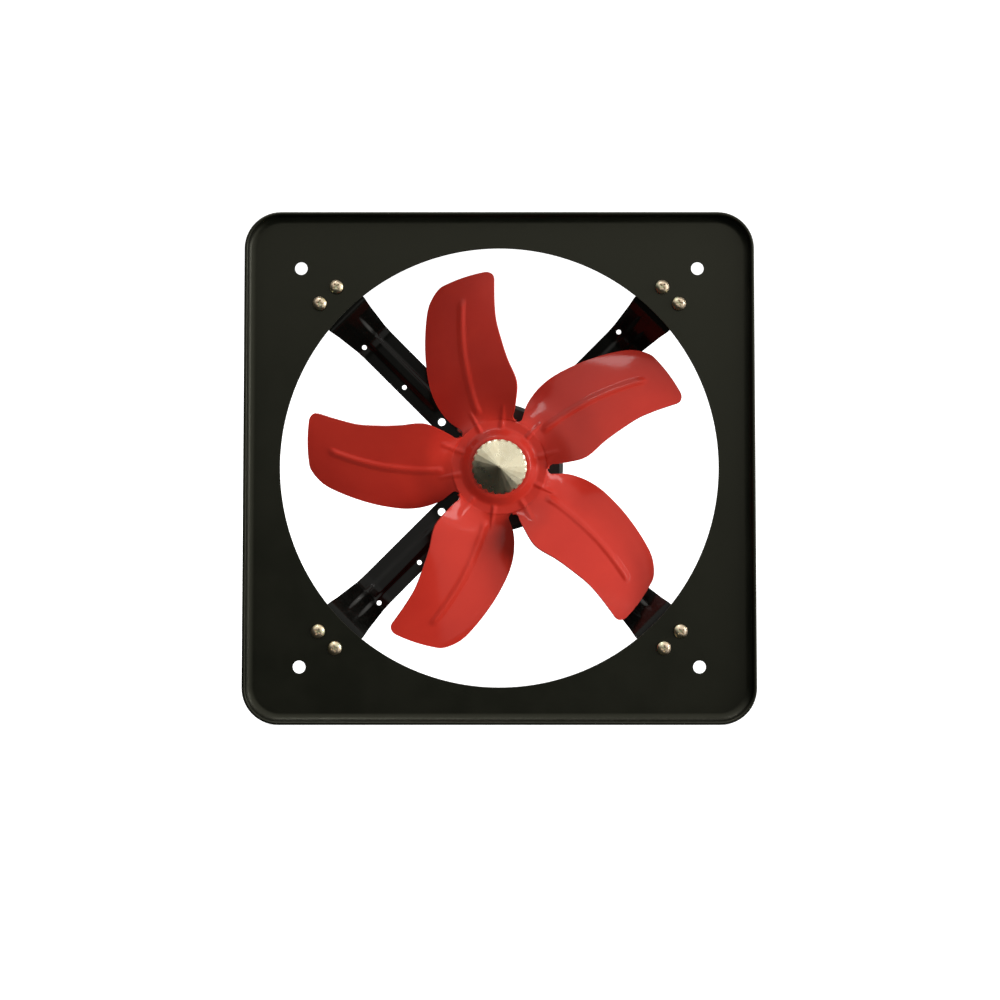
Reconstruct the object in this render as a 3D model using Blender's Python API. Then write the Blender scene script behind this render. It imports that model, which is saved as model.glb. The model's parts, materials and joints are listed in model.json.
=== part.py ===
"""Exhaust hood fan: a 300 mm class axial fan on a square pressed-steel frame.

The frame's rear face lies in the plane y = 0 and the fan's axis is the Y axis.
X runs to the right, Z up, the intake side faces -Y and the motor is behind, at +Y.
"""
import math

import bmesh
import bpy
from mathutils import Matrix, Vector

# ---- driving dimensions, metres and degrees -------------------------------------------------
GAP = 0.0003                # air between two pieces that touch

OPENING_RADIUS = 0.163      # the round hole in the frame that the air goes through
FRAME_MARGIN = 0.0258       # narrowest width of the frame beside the opening
FRAME_CORNER = 0.027        # outside corner radius, seen from the front
FRAME_SHEET = 0.0012
FRAME_DEPTH = 0.012         # rear face to the front of the turned-up rim
FRAME_BEND = 0.006          # inside radius between the face and the rim
FRAME_HEM = 0.0028          # thickness of the folded lip on the rim
FRAME_HEM_LENGTH = 0.004
MOUNT_INSET = 0.0408        # from the frame's side to the four wall holes
MOUNT_HOLE = 0.0095

FRAME_BOLT = 0.006          # M6, two at each arm's foot
FRAME_BOLT_INSET = 0.0177   # from the opening to each pair, along the diagonal
FRAME_BOLT_SPREAD = 0.0088  # half the distance between the two bolts of a pair
BOLT_HEAD_LAND = 0.0022     # how far a frame bolt's head stands out around its shank
FRAME_BOLT_HEAD_HEIGHT = 0.0036
NUT_WALL = 0.00275          # from a nut's thread to its corners
NUT_HEIGHT = 0.005

ARM_ANGLES = (135.0, 45.0, 225.0, 315.0)
ARM_NAMES = ("top_left", "top_right", "bottom_left", "bottom_right")
ARM_SHEET = 0.0018
ARM_FOOT_WIDTH = 0.036
ARM_WIDTH = 0.029
ARM_FOOT_LAND = 0.0133      # from the frame bolts to the end of the foot
ARM_FOOT_CHAMFER = 0.006
ARM_FOOT_CHAMFER_LENGTH = 0.005
ARM_RISER_INSET = 0.0025    # from the opening's edge to the start of the riser
ARM_KNEE_INSET = 0.026      # from the opening's edge to the knee of the arm
ARM_KNEE_RISE = 0.042       # how far behind the frame the knee lies
ARM_PAD_LAND = 0.012        # how far the flat pad reaches outside the motor
ARM_PAD_TONGUE = 0.0068     # and how far inside the motor bolts
ARM_RIB_DEPTH = 0.002       # the pressed rib along the middle of each arm
ARM_RIB_TOP = 0.0035        # half width of the rib's flat top
ARM_RIB_FOOT = 0.0060       # half width where the rib meets the strip
ARM_SMALL_HOLE = 0.0037
ARM_SMALL_HOLE_SIDE = 0.0085
ARM_PAD_HOLE = 0.0060
ARM_PAD_HOLE_SIDE = 0.0070
ARM_PAD_HOLE_INSET = 0.0055   # from the pad's outer end to the holes

MOTOR_RADIUS = 0.050
MOTOR_FRONT = 0.0541        # front face of the front cover
MOTOR_SHELL_LENGTH = 0.056
MOTOR_SHELL_WALL = 0.0027
COVER_DEPTH = 0.0119        # from a cover's outer face to its joint with the shell
COVER_WALL = 0.0034
REAR_COVER_WALL = 0.006
COVER_EDGE = 0.003          # chamfer round a cover's outer face
COVER_BOSS_WALL = 0.004     # round the bearing
COVER_BOSS_HEIGHT = 0.0041
COVER_BOSS_TAPER = 0.003
SPIGOT_LENGTH = 0.004
SPIGOT_WALL = 0.0025
SHAFT_HOLE_CLEARANCE = 0.001
THROUGH_BOLT = 0.004        # M4
THROUGH_BOLT_INSET = 0.0062  # from the bolt's side to the motor's outside
THROUGH_BOLT_HEAD_LAND = 0.00175
THROUGH_BOLT_HEAD_HEIGHT = 0.003
THROUGH_BOLT_SHORT = 0.001  # how far the bolts end short of the rear cover's face

BEARING_OUTER = 0.032       # 6201 ball bearing
BEARING_BORE = 0.012
BEARING_WIDTH = 0.010
BEARING_SHOULDER = 0.0023   # the cover's wall behind a bearing
BALL_COUNT = 7
BALL_DIAMETER = 0.0059
RING_SHOULDER = 0.0018      # from the balls' circle to the shoulder of either ring
CAGE_WALL = 0.0014
PRELOAD_THICKNESS = 0.0015
PRELOAD_SHEET = 0.0004

STATOR_END_ROOM = 0.006     # between the core and each end of the shell
STATOR_WIDTH = 0.0224       # from the motor's outside in to the stator bore
AIR_GAP = 0.0006
SLOT_COUNT = 12
SLOT_WIDTH = 0.0070
SLOT_MOUTH_WIDTH = 0.0026
SLOT_MOUTH_DEPTH = 0.0012
SLOT_SHOULDER = 0.001
SLOT_BOLT_WALL = 0.0022     # iron between the bottom of a slot and the motor bolts
COIL_BOLT_CLEARANCE = 0.0006
COIL_BORE_CLEARANCE = 0.0015
COIL_COVER_CLEARANCE = 0.0005
COIL_LENGTH = 0.0100
COIL_ROUNDING = 0.0025
ROTOR_RING_LENGTH = 0.0024
ROTOR_RING_CHAMFER = 0.0015
ROTOR_RING_WIDTH = 0.007

ROTOR_SEAT_STEP = 0.0013    # each step of the shaft, radius to radius
SHAFT_COLLAR_STEP = 0.0015
SHAFT_THREAD_STEP = 0.0007
SHAFT_CHAMFER = 0.0008

HUB_FRONT = 0.011           # front face of the impeller's centre, behind the frame plane
HUB_STEP = 0.006            # how far the blade roots lie behind that face
HUB_FLAT_LAND = 0.001       # the centre's flat outside the spinner nut
HUB_STEP_WIDTH = 0.0086
HUB_ROOT_WIDTH = 0.0063     # from the step to the bottom of the slots
BLADE_COUNT = 5
BLADE_ANGLE = 102.0         # centre of the first blade's tip
BLADE_SHEET = 0.0015
TIP_CLEARANCE = 0.0152      # from the longest corner of a blade to the opening
TIP_TAPER = 0.0046          # how much shorter the trailing side of the tip is
TIP_CORNER_LEADING = 0.006
TIP_CORNER_TRAILING = 0.012
SLOT_HALF_WIDTH = 0.0038    # of the slot between two blades
SLOT_CENTRE = -32.2         # its angle from the blade's centre
SLOT_BLEND = 0.003
BLADE_BEAD_HALF_WIDTH = 0.0042
BLADE_BEAD_HEIGHT = 0.0016
BLADE_BEAD_START = 0.0408
BLADE_BEAD_SHORT = 0.0173   # from the bead's end to the tip
BLADE_BEAD_RUNOUT = 0.006
BLADE_CAMBER = 0.002
BLADE_CAMBER_RUNIN = 0.02
# Stations of one blade: radius, then an angle from the blade's centre, or the pitch.
LEADING_EDGE = ((0.0428, -26.9), (0.051, -25.8), (0.0638, -23.5), (0.0796, -16.5),
                (0.0964, -12.5), (0.1142, -10.4), (0.153, -10.5))
TRAILING_EDGE = ((0.0428, 35.0), (0.051, 36.2), (0.0632, 34.5), (0.076, 31.0),
                 (0.0928, 25.0), (0.1108, 19.0), (0.1306, 13.0), (0.153, 6.5))
BLADE_PITCH = ((0.034, 0.0), (0.044, 17.0), (0.056, 28.0), (0.075, 29.0),
               (0.100, 26.0), (0.145, 21.0))
BEAD_LINE = ((0.0408, 9.5), (0.052, 9.5), (0.0785, 7.0), (0.0908, 5.7), (0.1306, 0.5))

BOSS_FLANGE_INSET = 0.0025  # of the hub boss's flange inside the impeller's flat
BOSS_FLANGE = 0.003
BOSS_WALL = 0.006           # round the shaft
BOSS_REAR_CLEARANCE = 0.004  # between the hub boss and the motor's front boss
GRUB_RADIUS = 0.0025

SPINNER_RADIUS = 0.0207
SPINNER_RIM = 0.002
SPINNER_RIM_CHAMFER = 0.0012
SPINNER_NOTCH = 0.0008
SPINNER_HEIGHT = 0.0115
SPINNER_FACETS = 12
SPINNER_CROWN = 0.0053      # solid metal of the nut in front of the shaft
WASHER_LAND = 0.0047        # of the lock washer around the thread
WASHER_TOOTH = 0.0012
WASHER_TEETH = 12
WASHER_THICKNESS = 0.001

BOX_DEPTH = 0.028
BOX_WALL = 0.002
BOX_CORNER = 0.006
BOX_SCREW_INSET = 0.010     # from the box's side to the screws that hold it
LID_THICKNESS = 0.0025
LID_BOSS_RADIUS = 0.0048
LID_BOSS_BITE = 0.0006      # how far a boss runs into the box's walls
LID_SCREW_LENGTH = 0.010
BOX_SCREW_LENGTH = 0.0062
SCREW_RADIUS = 0.002
SCREW_HEAD_RADIUS = 0.0037
SCREW_HEAD_HEIGHT = 0.0024
CAPACITOR_RADIUS = 0.0085
CAPACITOR_LENGTH = 0.038
CAPACITOR_CHAMFER = 0.001
CAPACITOR_SCREW_CLEARANCE = 0.0018
CAPACITOR_WALL_CLEARANCE = 0.0035
CAPACITOR_BOSS_CLEARANCE = 0.002
TERMINAL_SIZE = (0.034, 0.010, 0.012)
TERMINAL_SCREW_CLEARANCE = 0.003
TERMINAL_HOLE_RADIUS = 0.0022
GLAND_BORE = 0.004
GLAND_THREAD_RADIUS = 0.0075
GLAND_NECK_WALL = 0.0025
GLAND_HEX_LAND = 0.0025
GLAND_HEX_HEIGHT = 0.004
GLAND_LOCK_LAND = 0.0020
GLAND_LOCK_HEIGHT = 0.0029
GLAND_CAP_WALL = 0.0024
GLAND_CAP_LENGTH = 0.010
GLAND_CAP_CHAMFER = 0.003
GLAND_CAP_END = 0.0025

FINE = 32                    # sides of the large turned pieces
MEDIUM = 24
COARSE = 14
SMALL = 10
DRILL = 0.01                 # how far a cutter runs past what it cuts

# ---- places that follow from them -----------------------------------------------------------
FRAME_SIDE = 2 * (OPENING_RADIUS + FRAME_MARGIN)
MOUNT_PITCH = FRAME_SIDE - 2 * MOUNT_INSET
FRAME_BOLT_RADIUS = OPENING_RADIUS + FRAME_BOLT_INSET
FRAME_BOLT_HEAD = FRAME_BOLT + 2 * BOLT_HEAD_LAND
ARM_FOOT_FRONT = GAP
ARM_FOOT_END = FRAME_BOLT_RADIUS + ARM_FOOT_LAND
ARM_KNEE_RADIUS = OPENING_RADIUS - ARM_KNEE_INSET
ARM_PAD_FRONT = MOTOR_FRONT - GAP - ARM_SHEET
THROUGH_BOLT_RADIUS = MOTOR_RADIUS - THROUGH_BOLT_INSET - THROUGH_BOLT / 2
THROUGH_BOLT_HEAD = THROUGH_BOLT + 2 * THROUGH_BOLT_HEAD_LAND
ARM_PAD_OUTER = MOTOR_RADIUS + ARM_PAD_LAND
ARM_PAD_INNER = THROUGH_BOLT_RADIUS - ARM_PAD_TONGUE
ARM_SIDE_HOLES = (
    (ARM_KNEE_RADIUS + 0.002, ARM_SMALL_HOLE_SIDE, ARM_SMALL_HOLE),
    ((ARM_KNEE_RADIUS + ARM_PAD_INNER) / 2 + 0.010, ARM_SMALL_HOLE_SIDE, ARM_SMALL_HOLE),
    (ARM_PAD_OUTER - ARM_PAD_HOLE_INSET, ARM_PAD_HOLE_SIDE, ARM_PAD_HOLE),
    (ARM_PAD_OUTER - ARM_PAD_HOLE_INSET, -ARM_PAD_HOLE_SIDE, ARM_PAD_HOLE),
)
SHELL_FRONT = MOTOR_FRONT + COVER_DEPTH + GAP
SHELL_REAR = SHELL_FRONT + MOTOR_SHELL_LENGTH
SHELL_BORE = MOTOR_RADIUS - MOTOR_SHELL_WALL
MOTOR_REAR = SHELL_REAR + GAP + COVER_DEPTH
STATOR_FRONT = SHELL_FRONT + STATOR_END_ROOM
STATOR_REAR = SHELL_REAR - STATOR_END_ROOM
STATOR_BORE_RADIUS = MOTOR_RADIUS - STATOR_WIDTH
SLOT_BOTTOM = THROUGH_BOLT_RADIUS - THROUGH_BOLT / 2 - GAP - SLOT_BOLT_WALL
COVER_BOSS_RADIUS = BEARING_OUTER / 2 + COVER_BOSS_WALL
COIL_OUTER_RADIUS = THROUGH_BOLT_RADIUS - THROUGH_BOLT / 2 - COIL_BOLT_CLEARANCE
COIL_INNER_RADIUS = max(STATOR_BORE_RADIUS + COIL_BORE_CLEARANCE,
                        COVER_BOSS_RADIUS + COIL_COVER_CLEARANCE)
BEARING_POCKET = BEARING_OUTER / 2 + GAP
FRONT_BEARING = MOTOR_FRONT + BEARING_SHOULDER
REAR_POCKET_BOTTOM = MOTOR_REAR - BEARING_SHOULDER
REAR_BEARING = REAR_POCKET_BOTTOM - 2 * GAP - PRELOAD_THICKNESS - BEARING_WIDTH
BEARING_TUBE_LENGTH = BEARING_WIDTH + 0.0005
SHAFT_RADIUS = BEARING_BORE / 2 - GAP
ROTOR_SEAT_RADIUS = SHAFT_RADIUS + ROTOR_SEAT_STEP
SHAFT_COLLAR_RADIUS = ROTOR_SEAT_RADIUS + SHAFT_COLLAR_STEP
SHAFT_THREAD_RADIUS = SHAFT_RADIUS - SHAFT_THREAD_STEP
BALL_PITCH_RADIUS = (BEARING_OUTER + BEARING_BORE) / 4
HUB_BACK = HUB_FRONT + HUB_STEP
HUB_FLAT_RADIUS = SPINNER_RADIUS + HUB_FLAT_LAND
HUB_STEP_RADIUS = HUB_FLAT_RADIUS + HUB_STEP_WIDTH
HUB_RADIUS = HUB_STEP_RADIUS + HUB_ROOT_WIDTH
TIP_RADIUS_LEADING = OPENING_RADIUS - TIP_CLEARANCE
TIP_RADIUS_TRAILING = TIP_RADIUS_LEADING - TIP_TAPER
BLADE_BEAD_END = TIP_RADIUS_LEADING - BLADE_BEAD_SHORT
BOSS_RADIUS = SHAFT_RADIUS + BOSS_WALL
BOSS_FLANGE_RADIUS = HUB_FLAT_RADIUS - BOSS_FLANGE_INSET
BOSS_FRONT = HUB_FRONT + BLADE_SHEET + GAP
BOSS_REAR = MOTOR_FRONT - COVER_BOSS_HEIGHT - BOSS_REAR_CLEARANCE
SPINNER_BASE = HUB_FRONT - GAP
SHAFT_FRONT = SPINNER_BASE - SPINNER_HEIGHT + SPINNER_CROWN
WASHER_RADIUS = SHAFT_THREAD_RADIUS + WASHER_LAND
BOX_WIDTH = (CAPACITOR_LENGTH
             + 2 * (CAPACITOR_BOSS_CLEARANCE + 2 * LID_BOSS_RADIUS - LID_BOSS_BITE + BOX_WALL))
CAPACITOR_Z = SCREW_HEAD_RADIUS + CAPACITOR_SCREW_CLEARANCE + CAPACITOR_RADIUS
BOX_HEIGHT = 2 * (CAPACITOR_Z + CAPACITOR_RADIUS + CAPACITOR_WALL_CLEARANCE + BOX_WALL)
BOX_SCREW_X = BOX_WIDTH / 2 - BOX_SCREW_INSET
BOX_FRONT = MOTOR_REAR + GAP
BOX_REAR = BOX_FRONT + BOX_DEPTH
GLAND_Y = BOX_FRONT + BOX_DEPTH / 2
GLAND_NECK_RADIUS = GLAND_BORE + GLAND_NECK_WALL


# ---- helpers --------------------------------------------------------------------------------
def clear_scene():
    for thing in list(bpy.data.objects):
        bpy.data.objects.remove(thing, do_unlink=True)


def paint(name, colour, roughness, metallic):
    """A plain finish: one Principled BSDF."""
    finish = bpy.data.materials.get(name)
    if finish is None:
        finish = bpy.data.materials.new(name)
        finish.use_nodes = True
        shader = finish.node_tree.nodes["Principled BSDF"]
        shader.inputs["Base Color"].default_value = (*colour, 1.0)
        shader.inputs["Roughness"].default_value = roughness
        shader.inputs["Metallic"].default_value = metallic
    return finish


def black_paint():
    return paint("black_paint", (0.022, 0.023, 0.018), 0.42, 0.0)


def red_enamel():
    return paint("red_enamel", (0.50, 0.035, 0.022), 0.25, 0.0)


def zinc_steel():
    return paint("zinc_steel", (0.62, 0.52, 0.30), 0.35, 1.0)


def plated_nut():
    return paint("plated_nut", (0.80, 0.72, 0.52), 0.22, 1.0)


def bright_steel():
    return paint("bright_steel", (0.60, 0.60, 0.58), 0.25, 1.0)


def core_steel():
    return paint("core_steel", (0.30, 0.30, 0.31), 0.5, 1.0)


def copper_wire():
    return paint("copper_wire", (0.65, 0.28, 0.12), 0.4, 1.0)


def black_plastic():
    return paint("black_plastic", (0.02, 0.02, 0.02), 0.5, 0.0)


def grey_plastic():
    return paint("grey_plastic", (0.35, 0.35, 0.36), 0.5, 0.0)


def place(name, mesh, finish, location=(0, 0, 0), rotation=(0, 0, 0), parent=None):
    """Make one named piece from a mesh."""
    piece = bpy.data.objects.new(name, mesh)
    bpy.context.scene.collection.objects.link(piece)
    piece.location = location
    piece.rotation_euler = rotation
    piece.parent = parent
    if not mesh.materials:
        mesh.materials.append(finish)
    return piece


def axis_empty(name, location=(0, 0, 0)):
    empty = bpy.data.objects.new(name, None)
    bpy.context.scene.collection.objects.link(empty)
    empty.location = location
    empty.empty_display_size = 0.02
    return empty


def to_mesh(name, bm, smooth_angle=None):
    """Close a bmesh into a mesh, faces outward, smooth where a smoothing angle is given."""
    bmesh.ops.recalc_face_normals(bm, faces=bm.faces)
    mesh = bpy.data.meshes.new(name)
    bm.to_mesh(mesh)
    bm.free()
    if smooth_angle is not None:
        mesh.shade_smooth()
        mesh.set_sharp_from_angle(angle=math.radians(smooth_angle))
    return mesh


def turned(name, profile, steps, smooth_angle=35):
    """Turn a closed (radius, y) outline once round the Y axis."""
    bm = bmesh.new()
    verts = [bm.verts.new((radius, y, 0)) for radius, y in profile]
    pairs = list(zip(verts, verts[1:] + verts[:1]))
    on_axis = [abs(a.co.x) < 1e-9 and abs(b.co.x) < 1e-9 for a, b in pairs]
    edges = [bm.edges.new(pair) for pair, skip in zip(pairs, on_axis) if not skip]
    bmesh.ops.spin(bm, geom=verts + edges, cent=(0, 0, 0), axis=(0, 1, 0),
                   angle=math.tau, steps=steps, use_duplicate=False)
    bmesh.ops.remove_doubles(bm, verts=bm.verts, dist=1e-6)
    return to_mesh(name, bm, smooth_angle)


def extruded(name, outline, front, rear, smooth_angle=35):
    """A solid with an (x, z) outline, running along Y from front to rear."""
    bm = bmesh.new()
    face = bm.faces.new([bm.verts.new((x, front, z)) for x, z in outline])
    pushed = bmesh.ops.extrude_face_region(bm, geom=[face])
    far = [item for item in pushed["geom"] if isinstance(item, bmesh.types.BMVert)]
    bmesh.ops.translate(bm, verts=far, vec=(0, rear - front, 0))
    return to_mesh(name, bm, smooth_angle)


def circle(radius, steps, x=0.0, z=0.0, turn=0.0):
    """Points of a circle in the (x, z) plane."""
    angles = [math.tau * (i + turn) / steps for i in range(steps)]
    return [(x + radius * math.cos(a), z + radius * math.sin(a)) for a in angles]


def rounded_rectangle(half_x, half_z, radius, steps):
    """Points of a rectangle with round corners, anticlockwise from the top right corner."""
    points = []
    corners = ((1, 1, 0), (-1, 1, 90), (-1, -1, 180), (1, -1, 270))
    for side_x, side_z, start in corners:
        centre_x = side_x * (half_x - radius)
        centre_z = side_z * (half_z - radius)
        for i in range(steps + 1):
            angle = math.radians(start + 90 * i / steps)
            points.append((centre_x + radius * math.cos(angle), centre_z + radius * math.sin(angle)))
    return points


def joined(name, meshes):
    """Several separate cutting shapes as one mesh."""
    bm = bmesh.new()
    for mesh in meshes:
        bm.from_mesh(mesh)
    result = bpy.data.meshes.new(name)
    bm.to_mesh(result)
    bm.free()
    return result


def moved(mesh, matrix):
    mesh.transform(matrix)
    if matrix.determinant() < 0:
        mesh.flip_normals()
    return mesh


def boolean(mesh, tool, operation, smooth_angle=35):
    """Cut a tool out of a mesh, or unite the two, with the exact solver."""
    work = bpy.data.objects.new("work", mesh)
    other = bpy.data.objects.new("tool", tool)
    for thing in (work, other):
        bpy.context.scene.collection.objects.link(thing)
    modifier = work.modifiers.new("boolean", "BOOLEAN")
    modifier.operation = operation
    modifier.solver = "EXACT"
    modifier.object = other
    bpy.context.view_layer.update()
    evaluated = work.evaluated_get(bpy.context.evaluated_depsgraph_get())
    result = bpy.data.meshes.new_from_object(evaluated)
    result.name = mesh.name
    bpy.data.objects.remove(work)
    bpy.data.objects.remove(other)
    result.materials.clear()
    result.shade_smooth()
    result.set_sharp_from_angle(angle=math.radians(smooth_angle))
    return result


def cut(mesh, *tools):
    return boolean(mesh, joined("cutter", tools), "DIFFERENCE")


def unite(mesh, *tools):
    for tool in tools:
        mesh = boolean(mesh, tool, "UNION")
    return mesh


def hole(radius, front, rear, x=0.0, z=0.0, steps=SMALL):
    """A cutter for a round hole along Y."""
    return extruded("hole", circle(radius, steps, x, z), front, rear)


def solidified(mesh, thickness, smooth_angle=35):
    """Give a sheet its thickness, on the side away from its normals."""
    work = bpy.data.objects.new("work", mesh)
    bpy.context.scene.collection.objects.link(work)
    modifier = work.modifiers.new("sheet", "SOLIDIFY")
    modifier.thickness = thickness
    modifier.offset = -1
    modifier.use_even_offset = True
    bpy.context.view_layer.update()
    evaluated = work.evaluated_get(bpy.context.evaluated_depsgraph_get())
    result = bpy.data.meshes.new_from_object(evaluated)
    bpy.data.objects.remove(work)
    result.shade_smooth()
    result.set_sharp_from_angle(angle=math.radians(smooth_angle))
    return result


def along(stations, x):
    """Read a smooth curve through (x, value) stations; beyond the ends it stays level."""
    if x <= stations[0][0]:
        return stations[0][1]
    if x >= stations[-1][0]:
        return stations[-1][1]
    i = max(k for k in range(len(stations) - 1) if stations[k][0] <= x)
    x0, y0 = stations[i]
    x1, y1 = stations[i + 1]
    before = stations[max(i - 1, 0)]
    after = stations[min(i + 2, len(stations) - 1)]
    slope0 = (y1 - before[1]) / (x1 - before[0])
    slope1 = (after[1] - y0) / (after[0] - x0)
    span = x1 - x0
    t = (x - x0) / span
    return ((2 * t**3 - 3 * t**2 + 1) * y0 + (t**3 - 2 * t**2 + t) * span * slope0
            + (3 * t**2 - 2 * t**3) * y1 + (t**3 - t**2) * span * slope1)


def smooth_step(low, high, x):
    t = min(max((x - low) / (high - low), 0.0), 1.0)
    return t * t * (3 - 2 * t)


def diagonal(radius, angle, side=0.0):
    """The (x, z) place at a radius along an angle, set off sideways, anticlockwise."""
    turn = math.radians(angle)
    x = radius * math.cos(turn) - side * math.sin(turn)
    z = radius * math.sin(turn) + side * math.cos(turn)
    return x, z


# ---- frame ----------------------------------------------------------------------------------
def frame_rings():
    """The pressed frame's section: (inset from the outside, y), from rear face to front face."""
    outer_bend = FRAME_BEND + FRAME_SHEET
    rings = []
    for angle in (0, 45, 90):
        turn = math.radians(angle)
        rings.append((outer_bend * (1 - math.sin(turn)), -outer_bend * (1 - math.cos(turn))))
    hem_end = -FRAME_DEPTH + FRAME_HEM_LENGTH
    rings += [(0, -FRAME_DEPTH), (FRAME_HEM, -FRAME_DEPTH)]
    rings += [(FRAME_HEM, hem_end), (FRAME_SHEET, hem_end)]
    for angle in (90, 45, 0):
        turn = math.radians(angle)
        inset = FRAME_SHEET + FRAME_BEND * (1 - math.sin(turn))
        rings.append((inset, -FRAME_SHEET - FRAME_BEND * (1 - math.cos(turn))))
    return rings


def bolt_places(angle):
    return [diagonal(FRAME_BOLT_RADIUS, angle, side)
            for side in (-FRAME_BOLT_SPREAD, FRAME_BOLT_SPREAD)]


def mount_places():
    half = MOUNT_PITCH / 2
    return [(x, z) for z in (half, -half) for x in (-half, half)]


def frame_plate():
    bm = bmesh.new()
    loops = []
    for inset, y in frame_rings():
        half = FRAME_SIDE / 2 - inset
        outline = rounded_rectangle(half, half, FRAME_CORNER - inset, 6)
        loops.append([bm.verts.new((x, y, z)) for x, z in outline])
    for near, far in zip(loops, loops[1:]):
        for i in range(len(near)):
            k = (i + 1) % len(near)
            bm.faces.new((near[i], near[k], far[k], far[i]))
    bm.faces.new(loops[0])
    bm.faces.new(loops[-1])
    mesh = to_mesh("frame_plate", bm, 35)
    through = (-2 * FRAME_SHEET, FRAME_SHEET)
    cutters = [hole(OPENING_RADIUS, *through, steps=2 * FINE)]
    cutters += [hole(MOUNT_HOLE / 2, *through, x, z, COARSE) for x, z in mount_places()]
    for angle in ARM_ANGLES:
        cutters += [hole(FRAME_BOLT / 2 + GAP, *through, x, z) for x, z in bolt_places(angle)]
    return place("frame_plate", cut(mesh, *cutters), black_paint())


# ---- arms -----------------------------------------------------------------------------------
def arm_stations():
    """Along an arm: (radius, y of the front face, half width, how far the rib stands)."""
    foot = ARM_FOOT_WIDTH / 2
    half = ARM_WIDTH / 2
    riser_start = OPENING_RADIUS - ARM_RISER_INSET
    rise = ARM_KNEE_RISE
    return (
        (ARM_FOOT_END, ARM_FOOT_FRONT, foot - ARM_FOOT_CHAMFER, 0.0),
        (ARM_FOOT_END - ARM_FOOT_CHAMFER_LENGTH, ARM_FOOT_FRONT, foot, 0.0),
        (riser_start, ARM_FOOT_FRONT, foot, 0.0),
        (riser_start - 0.006, rise * 0.23, foot * 0.93, 0.6),
        (ARM_KNEE_RADIUS + 0.003, rise * 0.90, half * 1.02, 1.0),
        (ARM_KNEE_RADIUS - 0.004, rise * 1.02, half, 1.0),
        (ARM_PAD_OUTER + ARM_PAD_LAND, ARM_PAD_FRONT - 0.0016, half, 1.0),
        (ARM_PAD_OUTER, ARM_PAD_FRONT, half, 0.0),
        (ARM_PAD_INNER + 0.004, ARM_PAD_FRONT, half, 0.0),
        (ARM_PAD_INNER, ARM_PAD_FRONT, half - 0.004, 0.0),
    )


def arm_mesh():
    stations = arm_stations()
    bm = bmesh.new()
    rows = []
    for i, (radius, y, half, rib) in enumerate(stations):
        before = stations[max(i - 1, 0)]
        after = stations[min(i + 1, len(stations) - 1)]
        path = Vector((after[0] - before[0], after[1] - before[1])).normalized()
        forward = Vector((path.y, -path.x)) if path.x > 0 else Vector((-path.y, path.x))
        forward = forward if forward.y < 0 else -forward
        lift = forward * ARM_RIB_DEPTH * rib
        columns = ((-half, 0), (-ARM_RIB_FOOT, 0), (-ARM_RIB_TOP, 1),
                   (ARM_RIB_TOP, 1), (ARM_RIB_FOOT, 0), (half, 0))
        rows.append([bm.verts.new((radius + lift.x * up, y + lift.y * up, side))
                     for side, up in columns])
    for near, far in zip(rows, rows[1:]):
        for i in range(len(near) - 1):
            bm.faces.new((near[i], near[i + 1], far[i + 1], far[i]))
    bmesh.ops.recalc_face_normals(bm, faces=bm.faces)
    if sum(face.normal.y * face.calc_area() for face in bm.faces) > 0:
        bmesh.ops.reverse_faces(bm, faces=bm.faces)
    sheet = bpy.data.meshes.new("arm")
    bm.to_mesh(sheet)
    bm.free()
    mesh = solidified(sheet, ARM_SHEET)
    reach = (-0.02, MOTOR_FRONT + 0.02)
    cutters = [hole(width / 2, *reach, radius, side) for radius, side, width in ARM_SIDE_HOLES]
    cutters += [hole(FRAME_BOLT / 2 + GAP, *reach, FRAME_BOLT_RADIUS, side)
                for side in (-FRAME_BOLT_SPREAD, FRAME_BOLT_SPREAD)]
    cutters.append(hole(THROUGH_BOLT / 2 + GAP, *reach, THROUGH_BOLT_RADIUS, 0))
    return cut(mesh, *cutters)


def arms():
    mesh = arm_mesh()
    for angle, name in zip(ARM_ANGLES, ARM_NAMES):
        place(f"arm_{name}", mesh, black_paint(), rotation=(0, -math.radians(angle), 0))


# ---- bolts and nuts -------------------------------------------------------------------------
def round_head_bolt(name, shank, length, head, height, cap=SMALL):
    """A pan-head bolt along Y, its head's seat at y = 0 and its shank running to +Y."""
    profile = [(0, -height), (head * 0.30, -height), (head * 0.5, -height * 0.45),
               (head * 0.5, 0), (shank / 2, 0), (shank / 2, length), (0, length)]
    return turned(name, profile, cap)


def frame_bolts():
    grip = FRAME_SHEET + GAP + ARM_SHEET + GAP + NUT_HEIGHT
    mesh = round_head_bolt("arm_bolt", FRAME_BOLT, grip + 2 * GAP + 0.002,
                           FRAME_BOLT_HEAD, FRAME_BOLT_HEAD_HEIGHT)
    bore = FRAME_BOLT / 2 + GAP
    nut = extruded("arm_nut", circle(FRAME_BOLT / 2 + NUT_WALL, 6), 0, NUT_HEIGHT)
    nut = cut(nut, hole(bore, -NUT_HEIGHT, 2 * NUT_HEIGHT))
    nut_front = ARM_FOOT_FRONT + ARM_SHEET + GAP
    for angle, arm_name in zip(ARM_ANGLES, ARM_NAMES):
        for number, (x, z) in enumerate(bolt_places(angle), 1):
            label = f"{arm_name}_{number}"
            place(f"arm_bolt_{label}", mesh, zinc_steel(), (x, -FRAME_SHEET - GAP, z))
            place(f"arm_nut_{label}", nut, zinc_steel(), (x, nut_front, z),
                  (0, -math.radians(angle), 0))


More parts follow.
